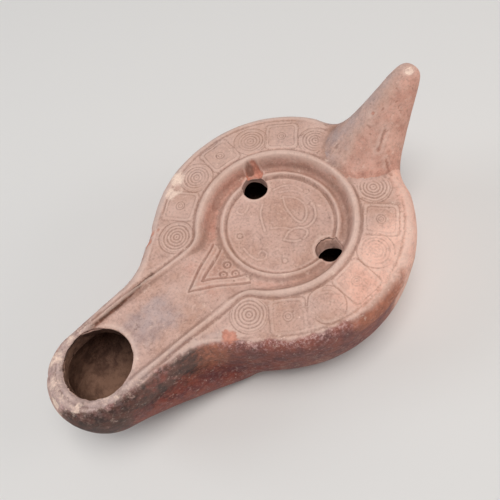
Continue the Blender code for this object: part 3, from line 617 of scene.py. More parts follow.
def keyhole_line():
    """Outer foot of the ridge: a circle, a small fillet, the channel side and a round end."""
    across = CHANNEL_HALF_WIDTH + RIDGE_FILLET
    meeting = math.atan2(-RIDGE_DROP, across)
    stretches = (
        Arc((0.0, RIDGE_CENTRE), RIDGE_RADIUS, math.pi / 2, meeting, 1),
        Arc((across, RIDGE_CORNER), RIDGE_FILLET, meeting + math.pi, math.pi, -1),
        Straight((CHANNEL_HALF_WIDTH, RIDGE_CORNER), (CHANNEL_HALF_WIDTH, WICK_CENTRE[1])),
        Arc((0.0, WICK_CENTRE[1]), CHANNEL_HALF_WIDTH, 0.0, -math.pi / 2, 1),
    )
    return PlanLine(stretches, RIDGE_STEPS)


OUTLINE = body_line(FLANK_RUN, NECK_FILLET)
LOWER_OUTLINE = body_line(LOWER_FLANK_RUN, LOWER_NECK_FILLET)
INNER_OUTLINE = PlanLine(OUTLINE.stretches, HOLLOW_STEPS)
INNER_LOWER_OUTLINE = PlanLine(LOWER_OUTLINE.stretches, HOLLOW_STEPS)
KEYHOLE = keyhole_line()
MIDDLE = np.array([0.0, (BODY_RADIUS + HANDLE_OVERHANG + NOZZLE_STATION - NOZZLE_RADIUS) / 2, 0.0])


class Noise:
    """Smooth, repeatable noise between -1 and 1 over space."""

    def __init__(self, seed):
        generator = np.random.default_rng(seed)
        self.values = generator.uniform(-1.0, 1.0, NOISE_VALUES)
        self.order = generator.permutation(NOISE_VALUES)

    def corner(self, cell):
        index = self.order[cell[:, 0] % NOISE_VALUES]
        index = self.order[(index + cell[:, 1]) % NOISE_VALUES]
        return self.values[self.order[(index + cell[:, 2]) % NOISE_VALUES]]

    def layer(self, points, size):
        place = points / size
        low = np.floor(place).astype(int)
        share = place - low
        share = share * share * (3.0 - 2.0 * share)
        total = np.zeros(len(points))
        for corner in np.ndindex(2, 2, 2):
            weight = np.prod(np.where(corner, share, 1.0 - share), axis=1)
            total += weight * self.corner(low + np.array(corner))
        return total

    def at(self, points, size, layers=1):
        """Layers of noise, each half as wide and half as strong as the one before."""
        return sum(self.layer(points, size / 2 ** step) / 2 ** step for step in range(layers))

    def over(self, x, y, size, layers=1):
        """Noise over points of the plan."""
        return self.at(np.column_stack([x, y, np.zeros(len(x))]), size, layers)


GRAIN = Noise(7)
PATCHES = Noise(19)
RAGGED = Noise(31)


def nozzle_share(y):
    return ease(-RIDGE_RADIUS, NECK_STATION, y)


def along_ridge(on_body, on_channel, y):
    """Size that changes where the ridge leaves the disc and runs along the channel."""
    return mix(on_body, on_channel, ease(RIDGE_CORNER / 2, RIDGE_CORNER, y))


def edge_width(y):
    return mix(BODY_EDGE, NOZZLE_EDGE, nozzle_share(y))


def shoulder_level(x, y):
    body = SHOULDER_HEIGHT - SHOULDER_SLOPE * (np.hypot(x, y) - RIDGE_RADIUS) + SHOULDER_LEAN * y
    return mix(body, NOZZLE_TOP_HEIGHT, nozzle_share(y))


def hollow_level(y):
    """Gutter round the disc, rising in front of it to the floor of the channel."""
    gutter = DISC_HEIGHT + GUTTER_RISE
    channel = CHANNEL_HEIGHT - CHANNEL_RISE * (y + RIDGE_RADIUS)
    return mix(gutter, channel, ease(-RING_FOOT, -RING_FOOT - CHANNEL_RAMP, y))


def disc_profile(radius, outside):
    """Disc, groove and low rounded ring, out to the level that surrounds them."""
    level = mix(DISC_HEIGHT, DISC_HEIGHT - GROOVE_DEPTH, ease(DISC_RADIUS, RING_GROOVE, radius))
    level = mix(level, DISC_HEIGHT + RING_RISE, ease(RING_GROOVE, RING_INSIDE, radius))
    return mix(level, outside, ease(RING_INSIDE, RING_FOOT, radius))


def away(x, y, centre):
    """Distance of points of the plan from a centre."""
    return np.hypot(x - centre[0], y - centre[1])


def turned(x, y, centre, turn):
    """Places of points of the plan along axes that start at a centre and are turned."""
    across = (x - centre[0]) * math.cos(turn) + (y - centre[1]) * math.sin(turn)
    along = (y - centre[1]) * math.cos(turn) - (x - centre[0]) * math.sin(turn)
    return across, along


def square_radius(x, y, centre):
    """Distance from a square stamp's centre, counted square, with its sides along the band."""
    across, along = np.abs(turned(x, y, centre, math.atan2(centre[1], centre[0])))
    return (across ** SQUARENESS + along ** SQUARENESS) ** (1.0 / SQUARENESS)


def stamp_places(angles):
    """Centres of stamps at these angles round the band, on the right and on the left."""
    places = []
    for side in (1.0, -1.0):
        for angle in np.radians(angles):
            across, along = BAND_MIDDLE * math.cos(angle), BAND_MIDDLE * math.sin(angle)
            places.append((side * across, RIDGE_CENTRE + along))
    return places


def rings(radius, size, count):
    """Concentric grooves with a pit at the centre, the last groove just inside size."""
    lines = -0.5 - 0.5 * np.cos(2 * np.pi * radius * (count + 0.5) / size)
    return np.where(radius < size, lines, 0.0)


def pad(radius, size):
    """Low raised pad with an eased edge."""
    return PAD_HEIGHT * (1.0 - ease(size - PAD_EDGE, size, radius))


def border(radius, size):
    """Two fine grooves just inside the edge of a square pad."""
    gap = size - radius
    lines = -0.5 + 0.5 * np.cos(2 * np.pi * gap / BORDER_GAP)
    return np.where(gap < 2 * BORDER_GAP, lines, 0.0)


def freshness(x, y):
    """How crisp the stamps still are: rubbed in patches, and most on the right."""
    handled = ease(0.012, 0.024, x) * ease(-0.026, -0.018, y) * ease(0.026, 0.018, y)
    crisp = 0.72 + 0.50 * PATCHES.over(x, y, 0.009, 2) - 0.38 * ease(0.018, 0.034, x)
    return np.clip(crisp, 0.12, 1.0) * (1.0 - 0.45 * handled)


def stamps(x, y):
    """Raised pads with rings, or with a border and an eye. Each has a broken outline."""
    relief = np.zeros(len(x))
    crisp = freshness(x, y)
    wobble = STAMP_WOBBLE * RAGGED.over(x, y, 0.0024)
    broken_line = OUTLINE_DEPTH * unit(0.45 + 0.8 * RAGGED.over(x, y, 0.0042, 2))
    for centre in stamp_places(CIRCLE_ANGLES):
        reach = away(x, y, centre) + wobble
        lines = RING_DEPTH * rings(reach, CIRCLE_SIZE, CIRCLE_RINGS)
        relief += stamp(reach, CIRCLE_SIZE, lines, crisp, broken_line)
    for centre in stamp_places(SQUARE_ANGLES):
        square = square_radius(x, y, centre) + wobble
        lines = BORDER_DEPTH * border(square, SQUARE_SIZE)
        lines += RING_DEPTH * rings(away(x, y, centre) + wobble, EYE_RADIUS, EYE_RINGS)
        relief += stamp(square, SQUARE_SIZE, lines, crisp, broken_line)
    return relief


def stamp(reach, size, lines, crisp, broken_line):
    """One stamp: its pad with lines, and the groove round it."""
    relief = np.where(reach < size, pad(reach, size) + lines, 0.0) * crisp
    return relief - broken_line * np.exp(-((reach - size) / OUTLINE_WIDTH) ** 2)


def line_gap(points, line):
    """Distance of points from a bent line, in the plan or in space."""
    gap = np.full(len(points), FAR)
    for first, second in zip(line, line[1:]):
        run = second - first
        share = unit((points - first) @ run / (run @ run))
        gap = np.minimum(gap, np.linalg.norm(points - first - share[:, None] * run, axis=1))
    return gap


def panel_marks(x, y):
    """Two chevron grooves with a low band between them, and three ringlets."""
    points = np.column_stack([np.abs(x), y])
    gaps, inner = [], []
    for apex, end in zip(CHEVRON_APEXES, CHEVRON_ENDS):
        line = np.array([(0.0, -RING_FOOT - apex), (end[0], -RING_FOOT - end[1])])
        run = line[1] - line[0]
        gaps.append(line_gap(points, line))
        inner.append((points - line[0]) @ (run[1], -run[0]) < 0)
    band = inner[0] & ~inner[1] & (y < -RING_FOOT)
    relief = np.where(band, CHEVRON_BAND * ease(0.0, CHEVRON_WIDTH, np.minimum(*gaps)), 0.0)
    for gap in gaps:
        relief -= CHEVRON_DEPTH * (1.0 - ease(0.0, CHEVRON_GROOVE, gap))
    for across, forward in RINGLET_PLACES:
        reach = away(x, y, (across, -RING_FOOT - forward))
        relief += RINGLET_DEPTH * rings(reach, RINGLET_SIZE, 1)
    return relief


def curved(points):
    """Smooth curve through the points, with five steps between each two."""
    points = np.array(points)
    padded = np.concatenate([[2 * points[0] - points[1]], points, [2 * points[-1] - points[-2]]])
    found = []
    for a, b, c, d in zip(padded, padded[1:], padded[2:], padded[3:]):
        for share in np.arange(5) / 5.0:
            found.append(0.5 * (2 * b + (c - a) * share + (2 * a - 5 * b + 4 * c - d) * share ** 2
                                + (3 * b - 3 * c + d - a) * share ** 3))
    return np.array(found + [points[-1]])


def disc_ornament(x, y):
    """Rubbed scrolls and ringlets: a low line with a faint groove on each side."""
    relief = np.zeros(len(x))
    inside = np.hypot(x, y) < DISC_RADIUS
    x, y = x[inside], y[inside]
    total = np.zeros(len(x))
    for points in STROKES:
        gap = line_gap(np.column_stack([x, y]), curved(points) / 1000.0) / STROKE_WIDTH
        total += STROKE_HEIGHT * np.cos(np.minimum(gap * 2.2, 4.71)) * np.exp(-gap ** 2 * 0.7)
    for centre in DISC_RINGLETS:
        total += DISC_RINGLET_HEIGHT * rings(away(x, y, centre), DISC_RINGLET_RADIUS, 1)
    relief[inside] = total * np.clip(0.75 + 0.55 * PATCHES.over(x, y, 0.006), 0.2, 1.1)
    return relief


def band_groove(x, y, inset):
    """Fine groove along the outer edge of the stamped band, missing where the handle joins."""
    groove = 1.0 - ease(0.0, BAND_GROOVE_WIDTH, np.abs(inset - BAND_GROOVE_INSET))
    ends = ease(-0.040, -0.036, y) * (1.0 - ease(0.026, 0.031, y))
    return -BAND_GROOVE_DEPTH * groove * ends * unit(0.6 + 0.8 * PATCHES.over(x, y, 0.007))


def ridge_crispness(x, y):
    """How much of the ridge still stands: rubbed in places and nearly gone at the nozzle's tip."""
    crisp = np.clip(0.86 + 0.25 * PATCHES.over(x, y, 0.013), 0.4, 1.0)
    return crisp * (1.0 - 0.75 * ease(-0.058, -0.072, y))


def plain_top(x, y):
    """Height of the top without its relief: disc, gutter, ridge and shoulder."""
    inward = -KEYHOLE.distance(x, y)
    crest = along_ridge(BODY_CREST, CHANNEL_CREST, y)
    wall = along_ridge(BODY_RIDGE_WALL, CHANNEL_RIDGE_WALL, y)
    hollow = disc_profile(np.hypot(x, y), hollow_level(y))
    crisp = ridge_crispness(x, y)
    groove = crisp * RIDGE_GROOVE * (1.0 - ease(0.0, 0.9 * RIDGE_LIP, np.abs(inward)))
    rise = crisp * WORN_RIDGE_RISE * ease(0.0, 2.2 * RIDGE_LIP, inward)
    fall = ease(0.8 * RIDGE_LIP + 0.7 * crest, RIDGE_LIP + crest + 1.15 * wall, inward)
    return mix(shoulder_level(x, y) - groove + rise, hollow, fall)


def holes():
    """Centre, radius, bevel and sides of each hole through the roof."""
    found = [(WICK_CENTRE, WICK_RADIUS, WICK_BEVEL, WICK_SIDES)]
    for centre in (RIGHT_FILLING_CENTRE, LEFT_FILLING_CENTRE):
        found.append((centre, FILLING_RADIUS, FILLING_BEVEL, FILLING_SIDES))
    return found


def hole_bevel(x, y):
    """How far the rims of the holes are worn down, unevenly and most at the nozzle's tip."""
    drop = np.zeros(len(x))
    wear = (1.0 + 0.5 * RAGGED.over(x, y, 0.0022)) * (1.0 + 1.2 * ease(-0.064, -0.074, y))
    for centre, radius, bevel, _ in holes():
        share = 1.0 - ramp(radius, radius + bevel * wear, away(x, y, centre))
        drop = np.maximum(drop, bevel * wear * (1.0 - np.sqrt(1.0 - share ** 2 * 0.96)))
    return drop


def pit_reach(x, y, pit):
    """Distance from the middle of a broken place, as a share of its half sizes."""
    centre, half_sizes, turn, _ = pit
    across, along = turned(x, y, centre, turn)
    return np.hypot(across / half_sizes[0], along / half_sizes[1])


def broken(level, x, y):
    """Breaks the pits, with steep ragged sides, out of a level."""
    rough = RAGGED.over(x, y, 0.0016, 3)
    for pit in PITS:
        depth = pit[3] + PIT_ROUGHNESS * rough
        level = level - depth * (1.0 - ease(*PIT_EDGE, pit_reach(x, y, pit) + 0.16 * rough))
    return level


def rounded(level, inset, width):
    """Quarter-round fall from a level to the widest line."""
    turn = 1.0 - ramp(PLAN_TOLERANCE, width, inset)
    return mix(WIDEST_HEIGHT, level, np.sqrt(np.maximum(0.0, 1.0 - turn ** 2)))


def top_height(x, y):
    inset = -OUTLINE.distance(x, y)
    level = plain_top(x, y) + stamps(x, y) + panel_marks(x, y) + disc_ornament(x, y)
    level = broken(level + band_groove(x, y, inset) - hole_bevel(x, y), x, y)
    return rounded(level, inset, edge_width(y))


def ceiling_height(x, y):
    """Inner side of the roof, which follows the disc, the shoulder and the channel."""
    blend = BODY_CREST + BODY_RIDGE_WALL + RIDGE_LIP
    fall = ease(0.0, 2 * blend, -KEYHOLE.distance(x, y))
    level = mix(shoulder_level(x, y), hollow_level(y), fall) - ROOF
    return rounded(level, -OUTLINE.distance(x, y) - WALL, edge_width(y))


def circle(centre, radius, sides):
    angle = np.arange(sides) * 2 * math.pi / sides
    return np.array(centre) + np.reshape(radius, (-1, 1)) * np.stack([np.cos(angle), np.sin(angle)], axis=1)


def rim(centre, radius, sides):
    """Worn edge of a hole: nearly round."""
    plan = circle(centre, radius, sides)
    wobble = 0.022 * PATCHES.over(*plan.T, radius) + 0.012 * RAGGED.over(*plan.T, 0.0015)
    return circle(centre, radius * (1.0 + wobble), sides)


def low_rim(centre, radius, sides):
    """Lower end of a hole. One filling hole was pierced aslant."""
    lean = np.array(FILLING_LEAN) if centre == RIGHT_FILLING_CENTRE else 0.0
    return rim(centre, radius, sides) + lean


def in_holes(x, y, margin=0.0):
    """True inside a hole, and its margin."""
    return np.any([away(x, y, centre) < radius + margin for centre, radius, _, _ in holes()], axis=0)


def near_rims(x, y, margin):
    """True where the rim of a hole lies within the margin."""
    gaps = [np.abs(away(x, y, centre) - radius) for centre, radius, _, _ in holes()]
    return np.any(np.array(gaps) <= margin, axis=0)


def inside_rims(x, y, edge):
    """True inside the worn edge of a hole."""
    return np.any([inside_polygon(edge(centre, radius, sides))(x, y)
                   for centre, radius, _, sides in holes()], axis=0)


class Drawing:
    """Plan points and lines from which one surface is triangulated."""

    def __init__(self):
        self.points = []
        self.edges = []

    def line(self, points):
        start, count = len(self.points), len(points)
        self.points.extend(points)
        self.edges.extend((start + here, start + (here + 1) % count) for here in range(count))

    def fill(self, low, high, spacing, wanted, seed):
        """Evenly spread, slightly jittered points of the rectangle where wanted(x, y)."""
        rows = np.arange(low[1], high[1], spacing * math.sqrt(0.75))
        columns = np.arange(low[0], high[0], spacing)
        x, y = np.meshgrid(columns, rows)
        x = x + (np.arange(len(rows)) % 2)[:, None] * spacing / 2
        shift = np.random.default_rng(seed).uniform(-JITTER, JITTER, (2, x.size)) * spacing
        x, y = np.ravel(x) + shift[0], np.ravel(y) + shift[1]
        keep = wanted(x, y)
        self.points.extend(np.column_stack([x, y])[keep])

    def surface(self, height, inside, upwards):
        """Vertices and triangles of the surface height(x, y) where inside(x, y) is true."""
        plan = [Vector((float(x), float(y))) for x, y in self.points]
        found = delaunay_2d_cdt(plan, self.edges, [], 0, 1e-7)
        corners = np.array([tuple(v) for v in found[0]])
        faces = np.array(found[2])
        middle = corners[faces].mean(axis=1)
        faces = faces[inside(middle[:, 0], middle[:, 1])]
        if not upwards:
            faces = faces[:, ::-1]
        levels = height(corners[:, 0], corners[:, 1])
        return np.column_stack([corners, levels]), faces


def stamp_zone(x, y):
    """Where the finest points are needed: stamps, panel marks, ridge and broken pits."""
    zone = (np.abs(x) < PANEL_HALF_WIDTH) & (y < -RING_FOOT) & (y > -RING_FOOT - PANEL_LENGTH)
    zone |= np.abs(-KEYHOLE.distance(x, y) - RIDGE_ZONE) < RIDGE_ZONE
    for centre in stamp_places(CIRCLE_ANGLES) + stamp_places(SQUARE_ANGLES):
        zone |= away(x, y, centre) < STAMP_ZONE
    for centre, half_sizes, _, _ in PITS:
        zone |= away(x, y, centre) < half_sizes[0] + PIT_ZONE
    return zone


def zone_of(x, y):
    """Number of the zone of the top: 0 for plain clay, 1 for relief and 2 for the disc."""
    return np.where(stamp_zone(x, y), 1, np.where(np.hypot(x, y) < RING_FOOT, 2, 0))


def roof_drawing(outline, wall, edge, step):
    """Drawing of one side of the roof: edges of the holes and rows of its rounded edge."""
    drawing = Drawing()
    for centre, radius, _, sides in holes():
        drawing.line(edge(centre, radius, sides))
    for angle in np.arange(0.0, 90.1, step):
        inset = 1.0 - math.cos(math.radians(angle))
        drawing.line(outline.loop(lambda y, inset=inset: -wall - inset * edge_width(y)))
    return drawing


def top_surface():
    """The whole upper side out to the widest line, with the lids of the holes still in."""
    drawing = roof_drawing(OUTLINE, 0.0, rim, EDGE_STEP)
    for zone, spacing in enumerate(ZONE_SPACINGS):
        def wanted(x, y, zone=zone, spacing=spacing):
            inner = -OUTLINE.distance(x, y) > edge_width(y) + spacing / 2
            clear = inner & ~near_rims(x, y, spacing / 2) & ~in_holes(x, y, -spacing)
            return clear & (zone_of(x, y) == zone)

        drawing.fill(*PLAN_BOX, spacing, wanted, zone + 1)
    return drawing.surface(top_height, lambda x, y: OUTLINE.distance(x, y) < 0, upwards=True)


def ceiling_surface():
    """Inner side of the roof, with the holes left open."""
    drawing = roof_drawing(INNER_OUTLINE, WALL, low_rim, CEILING_STEP)

    def plain(x, y):
        inner = -OUTLINE.distance(x, y) > WALL + edge_width(y) + CEILING_SPACING / 3
        return inner & ~near_rims(x, y, CEILING_SPACING / 3) & ~in_holes(x, y)

    def inside(x, y):
        return (OUTLINE.distance(x, y) < -WALL) & ~inside_rims(x, y, low_rim)

    drawing.fill(*PLAN_BOX, CEILING_SPACING, plain, 4)
    return drawing.surface(ceiling_height, inside, upwards=False)


def keel_share(y):
    return ease(KEEL_START, KEEL_END, y)


def underside_level(y):
    """Height of the lowest line of the underside, which rises under the nozzle."""
    return mix(FOOT_HEIGHT, NOZZLE_KEEL_HEIGHT, keel_share(np.clip(y, NOZZLE_STATION, 0.0)))


def wall_row(lines, angle, inset, lift):
    """One loop of the side wall: angle 0 is the widest line and 90 degrees the underside."""
    upper, lower = [line.loop(-inset) for line in lines]
    loop = mix(upper, lower, math.sin(angle))
    spine = np.column_stack([np.zeros(len(loop)), np.clip(loop[:, 1], NOZZLE_STATION, 0.0)])
    share = keel_share(spine[:, 1])
    power = 2.0 / mix(BODY_FULLNESS, NOZZLE_FULLNESS, share)
    base = mix(BASE_SHARE, KEEL_SHARE, share)
    reach = base + (1.0 - base) * max(0.0, math.cos(angle)) ** power
    bottom = underside_level(spine[:, 1]) + lift
    height = WIDEST_HEIGHT - (WIDEST_HEIGHT - bottom) * math.sin(angle) ** power
    plan = spine + (loop - spine) * reach[:, None]
    return np.column_stack([plan, height])


def wall_rows(lines, inset, lift, step):
    """Rows from the widest line down to the underside."""
    turns = np.linspace(0.0, 1.0, int(round(90.0 / step)) + 1)
    return [wall_row(lines, math.radians(90.0 * turn), inset, lift) for turn in turns]


def foot_height(x, y):
    """Underside with its foot ring and the shallow recess inside the ring."""
    radius = np.hypot(x, y)
    level = mix(0.0, underside_level(y), ease(FOOT_OUT, FOOT_OUT + FOOT_SLANT, radius))
    return level + FOOT_RECESS * (1.0 - ease(FOOT_IN - FOOT_SLANT, FOOT_IN, radius))


def floor_height(x, y):
    return underside_level(y) + FLOOR


def inside_polygon(loop):
    """Test for plan points inside a closed loop."""
    def inside(x, y):
        odd = np.zeros(np.shape(x), bool)
        for here, after in zip(loop, np.roll(loop, -1, axis=0)):
            crosses = (here[1] > y) != (after[1] > y)
            run = after[1] - here[1]
            if run == 0:
                continue
            odd ^= crosses & (x < here[0] + (after[0] - here[0]) * (y - here[1]) / run)
        return odd
    return inside


def base_surface(last_row, height, spacing, seed, slopes=()):
    """Underside or floor inside the last row of a wall, with loops along the foot's slopes."""
    drawing = Drawing()
    plan = last_row[:, :2]
    drawing.line(plan)
    for start, end in slopes:
        for radius in np.linspace(start, end, FOOT_LOOPS):
            drawing.line(circle((0.0, 0.0), radius, FOOT_SIDES))
    pulled = inside_polygon(plan * (1.0 - spacing / BODY_RADIUS))

    def clear(x, y):
        wanted = pulled(x, y)
        for slope in slopes:
            wanted &= np.abs(np.hypot(x, y) - sum(slope) / 2) > FOOT_SLANT
        return wanted

    drawing.fill(plan.min(axis=0), plan.max(axis=0), spacing, clear, seed)
    return drawing.surface(height, inside_polygon(plan), upwards=False)


def strip(first, second, outwards):
    """Triangles between two loops of equal length."""
    count = len(first)
    here = np.arange(count)
    after = (here + 1) % count
    faces = np.concatenate([np.stack([here, after, count + after], axis=1),
                            np.stack([here, count + after, count + here], axis=1)])
    return np.concatenate([first, second]), faces if outwards else faces[:, ::-1]


def strips(rows, outwards):
    return [strip(above, below, outwards) for above, below in zip(rows, rows[1:])]


def cap(loop, middle, upwards):
    """Fan of triangles from a loop to its middle."""
    count = len(loop)
    here = np.arange(count)
    faces = np.stack([here, (here + 1) % count, np.full(count, count)], axis=1)
    return np.concatenate([loop, [middle]]), faces if upwards else faces[:, ::-1]


def outer_patches():
    """The lamp as a full lump of clay: top, side wall and underside."""
    rows = wall_rows((OUTLINE, LOWER_OUTLINE), 0.0, 0.0, WALL_STEP)
    slopes = ((FOOT_OUT + FOOT_SLANT, FOOT_OUT), (FOOT_IN, FOOT_IN - FOOT_SLANT))
    underside = base_surface(rows[-1], foot_height, UNDERSIDE_SPACING, 5, slopes)
    return [top_surface(), *strips(rows, True), underside]


def hollow_patches():
    """The inside: ceiling, wall, floor and the sides of the holes."""
    rows = wall_rows((INNER_OUTLINE, INNER_LOWER_OUTLINE), WALL, FLOOR, HOLLOW_WALL_STEP)
    patches = [ceiling_surface(), *strips(rows, False)]
    floor = base_surface(rows[-1], floor_height, CEILING_SPACING, 6)
    patches.append((floor[0], floor[1][:, ::-1]))
    for centre, radius, _, sides in holes():
        plan = rim(centre, radius, sides)
        upper = np.column_stack([plan, top_height(*plan.T)])
        plan = low_rim(centre, radius, sides)
        lower = np.column_stack([plan, ceiling_height(*plan.T)])
        steps = int((upper - lower)[:, 2].max() / SHAFT_STEP)
        loops = [mix(upper, lower, share) for share in np.linspace(0.0, 1.0, steps + 1)]
        patches.extend(strips(loops, False))
    return patches


def curve_points(start, bends, tip, shares):
    """Cubic curve in the mirror plane from start to tip, bent towards shares of that way."""
    start, tip = np.array(start), np.array(tip)
    first, second = [start + (tip - start) * np.array(bend) for bend in bends]
    rest = 1.0 - shares
    return (start * rest ** 3 + 3 * first * shares * rest ** 2
            + 3 * second * shares ** 2 * rest + tip * shares ** 3)


def handle_patches():
    """Oval sections between the handle's front and back edges."""
    steps = np.linspace(0.0, 1.0, HANDLE_RINGS + 1)[:-1, None]
    shares = 1.0 - (1.0 - steps) ** HANDLE_CROWDING
    tip = (BODY_RADIUS + HANDLE_OVERHANG, SHOULDER_HEIGHT + HANDLE_HEIGHT)
    front = curve_points((BODY_RADIUS - HANDLE_SPREAD, SHOULDER_HEIGHT), FRONT_BENDS, tip, shares)
    low_back = (BODY_RADIUS - HANDLE_KEEL_INSET, HANDLE_KEEL_HEIGHT)
    back = curve_points(low_back, BACK_BENDS, tip, shares)
    width = mix(HANDLE_TIP_HALF_WIDTH, HANDLE_ROOT_HALF_WIDTH, (1.0 - shares) ** HANDLE_TAPER)
    width = width * np.sqrt(1.0 - shares ** HANDLE_ROUNDNESS)
    angle = np.arange(HANDLE_SIDES) * 2 * math.pi / HANDLE_SIDES
    loops = []
    for front_edge, back_edge, half_width in zip(front, back, width):
        middle, half_depth = (front_edge + back_edge) / 2, (back_edge - front_edge) / 2
        plane = middle + half_depth * np.sin(angle)[:, None]
        loops.append(np.column_stack([half_width * np.cos(angle), plane]))
    root, end = loops[0], loops[-1]
    return strips(loops, True) + [cap(end, (0.0, *tip), True), cap(root, root.mean(axis=0), False)]


def mesh_of(name, patches):
    """Closed mesh of patches that share their borders."""
    building = bmesh.new()
    for corners, faces in patches:
        made = [building.verts.new(corner - MIDDLE) for corner in corners]
        for face in faces:
            building.faces.new([made[number] for number in face])
    bmesh.ops.remove_doubles(building, verts=building.verts, dist=WELD)
    loose = [vertex for vertex in building.verts if not vertex.link_faces]
    bmesh.ops.delete(building, geom=loose, context="VERTS")
    return finished(building, name)


def finished(building, name):
    """Mesh made of what was built."""
    mesh = bpy.data.meshes.new(name)
    building.to_mesh(mesh)
    building.free()
    return mesh


def placed(name, mesh):
    item = bpy.data.objects.new(name, mesh)
    bpy.context.scene.collection.objects.link(item)
    return item


def read(items, name, width=1, kind=float):
    """One property of many items, as an array with a row for each item."""
    values = np.zeros(len(items) * width, kind)
    items.foreach_get(name, values)
    return values.reshape(-1, width) if width > 1 else values


def mark_all(mesh, marks):
    mesh.polygons.foreach_set("material_index", np.zeros(len(mesh.polygons), int) + marks)


def lump_with_handle():
    """Outer surface joined to the handle, as one closed mesh."""
    lump = placed("lump", mesh_of("lump", outer_patches()))
    handle = placed("handle_form", mesh_of("handle_form", handle_patches()))
    for number in range(3):
        material = bpy.data.materials.new("mark_%d" % number)
        lump.data.materials.append(material)
        handle.data.materials.append(material)
    x, y, z = (read(lump.data.polygons, "center", 3) + MIDDLE).T
    lid = (z > WIDEST_HEIGHT) & in_holes(x, y, RIM_MARGIN)
    lid[lid] = inside_rims(x[lid], y[lid], rim)
    mark_all(lump.data, LID * lid)
    mark_all(handle.data, HANDLE)
    step = lump.modifiers.new("join", "BOOLEAN")
    step.operation = "UNION"
    step.solver = "EXACT"
    step.material_mode = "INDEX"
    step.object = handle
    bpy.context.view_layer.update()
    joined = bpy.data.meshes.new_from_object(lump.evaluated_get(bpy.context.evaluated_depsgraph_get()))
    bpy.data.objects.remove(lump)
    bpy.data.objects.remove(handle)
    return joined


def lamp_mesh():
    """The hollow lamp: the joined lump without the lids, and the inside."""
    building = bmesh.new()
    building.from_mesh(lump_with_handle())
    bmesh.ops.triangulate(building, faces=[face for face in building.faces if len(face.verts) > 3])
    lid = [face for face in building.faces if face.material_index == LID]
    bmesh.ops.delete(building, geom=lid, context="FACES")
    inside = mesh_of("inside", hollow_patches())
    mark_all(inside, INSIDE)
    building.from_mesh(inside)
    bmesh.ops.remove_doubles(building, verts=building.verts, dist=WELD)
    bmesh.ops.dissolve_degenerate(building, edges=building.edges, dist=WELD)
    return finished(building, "lamp_clay")


class Surface:
    """Points, neighbours and normals of a mesh, for shaping it in numbers.

    kind is the highest mark of the faces round each point, and seam is true where the handle
    meets the lump.
    """

    def __init__(self, mesh):
        self.mesh = mesh
        self.points = read(mesh.vertices, "co", 3) + MIDDLE
        self.edges = read(mesh.edges, "vertices", 2, int)
        self.valence = np.bincount(self.edges.ravel(), minlength=len(self.points))
        marks = read(mesh.polygons, "material_index", kind=int)
        owner = np.repeat(marks, read(mesh.polygons, "loop_total", kind=int))
        corners = read(mesh.loops, "vertex_index", kind=int)
        self.kind = np.zeros(len(self.points), int)
        np.maximum.at(self.kind, corners, owner)
        on_lump, on_handle = [np.bincount(corners[owner == mark], minlength=len(self.points)) > 0
                              for mark in (0, HANDLE)]
        self.seam = on_lump & on_handle

    def spread(self, values):
        """Mean of the neighbours' values at each point."""
        first, second = self.edges.T
        wide = values.reshape(len(values), -1)
        total = np.zeros_like(wide)
        for column in range(wide.shape[1]):
            total[:, column] = (np.bincount(first, wide[second, column], len(wide))
                                + np.bincount(second, wide[first, column], len(wide)))
        return (total / np.maximum(self.valence, 1)[:, None]).reshape(values.shape)

    def normals(self):
        self.store()
        return read(self.mesh.vertex_normals, "vector", 3)

    def store(self):
        self.mesh.vertices.foreach_set("co", (self.points - MIDDLE).ravel())
        self.mesh.update()

    def relax(self, weight, rounds):
        """Evens the points out where weight is over 0."""
        for _ in range(rounds):
            self.points += (self.spread(self.points) - self.points) * weight[:, None]

    def hollowness(self, rounds):
        """How far each point lies below its neighbourhood, in metres."""
        smooth = self.points.copy()
        for _ in range(rounds):
            smooth = self.spread(smooth)
        return ((smooth - self.points) * self.normals()).sum(axis=1)


def nearness(points, targets, reach):
    """1 on the targets, falling to 0 at reach."""
    tree = KDTree(len(targets))
    for index, target in enumerate(targets):
        tree.insert(target, index)
    tree.balance()
    low, high = targets.min(axis=0) - reach, targets.max(axis=0) + reach
    near = np.all((points > low) & (points < high), axis=1)
    found = np.full(len(points), reach)
    found[near] = [tree.find(point)[2] for point in points[near]]
    return 1.0 - ease(0.0, reach, found)


def soften_joint(surface):
    """Rounds the line where the handle meets the body, and more of it outside the shoulder."""
    seam = surface.points[surface.seam]
    surface.relax(0.5 * nearness(surface.points, seam, JOINT_REACH), JOINT_ROUNDS)
    outer = ease(*OUTER_JOINT, np.hypot(surface.points[:, 0], surface.points[:, 1]))
    surface.relax(0.5 * outer * nearness(surface.points, seam, OUTER_JOINT_REACH), OUTER_JOINT_ROUNDS)


def roughen(surface):
    """Makes the clay uneven and adds its pocks, creases and flakes."""
    points = surface.points
    inside = surface.kind == INSIDE
    rise = np.zeros(len(points))
    for part, layers in ((~inside, UNEVENNESS), (inside, INSIDE_UNEVENNESS)):
        for size, height in layers:
            rise += np.where(part, height * GRAIN.at(points, size), 0.0)
    wear = POCK_DEPTH * ease(POCK_SHARE, 1.0, PATCHES.at(points, POCK_SIZE))
    rise -= np.where(inside, 0.0, wear)
    for crease in CREASES:
        gap = line_gap(points, np.array(crease) / 1000.0) + CREASE_WOBBLE * RAGGED.at(points, 0.0014)
        rise -= np.where(inside, 0.0, CREASE_DEPTH * (1.0 - ease(0.0, CREASE_WIDTH, gap)))
    fresh, pale = np.zeros(len(points)), np.zeros(len(points))
    for centre, radius, depth, freshly in FLAKES:
        reach = np.linalg.norm(points - np.array(centre), axis=1) / radius
        flake = 1.0 - ease(*FLAKE_EDGE, reach + 0.30 * RAGGED.at(points, 0.0014, 2))
        rise -= depth * flake
        fresh = np.maximum(fresh, flake * freshly)
        pale = np.maximum(pale, flake * (freshly == 0.0))
    surface.points += surface.normals() * rise[:, None]
    return fresh, pale


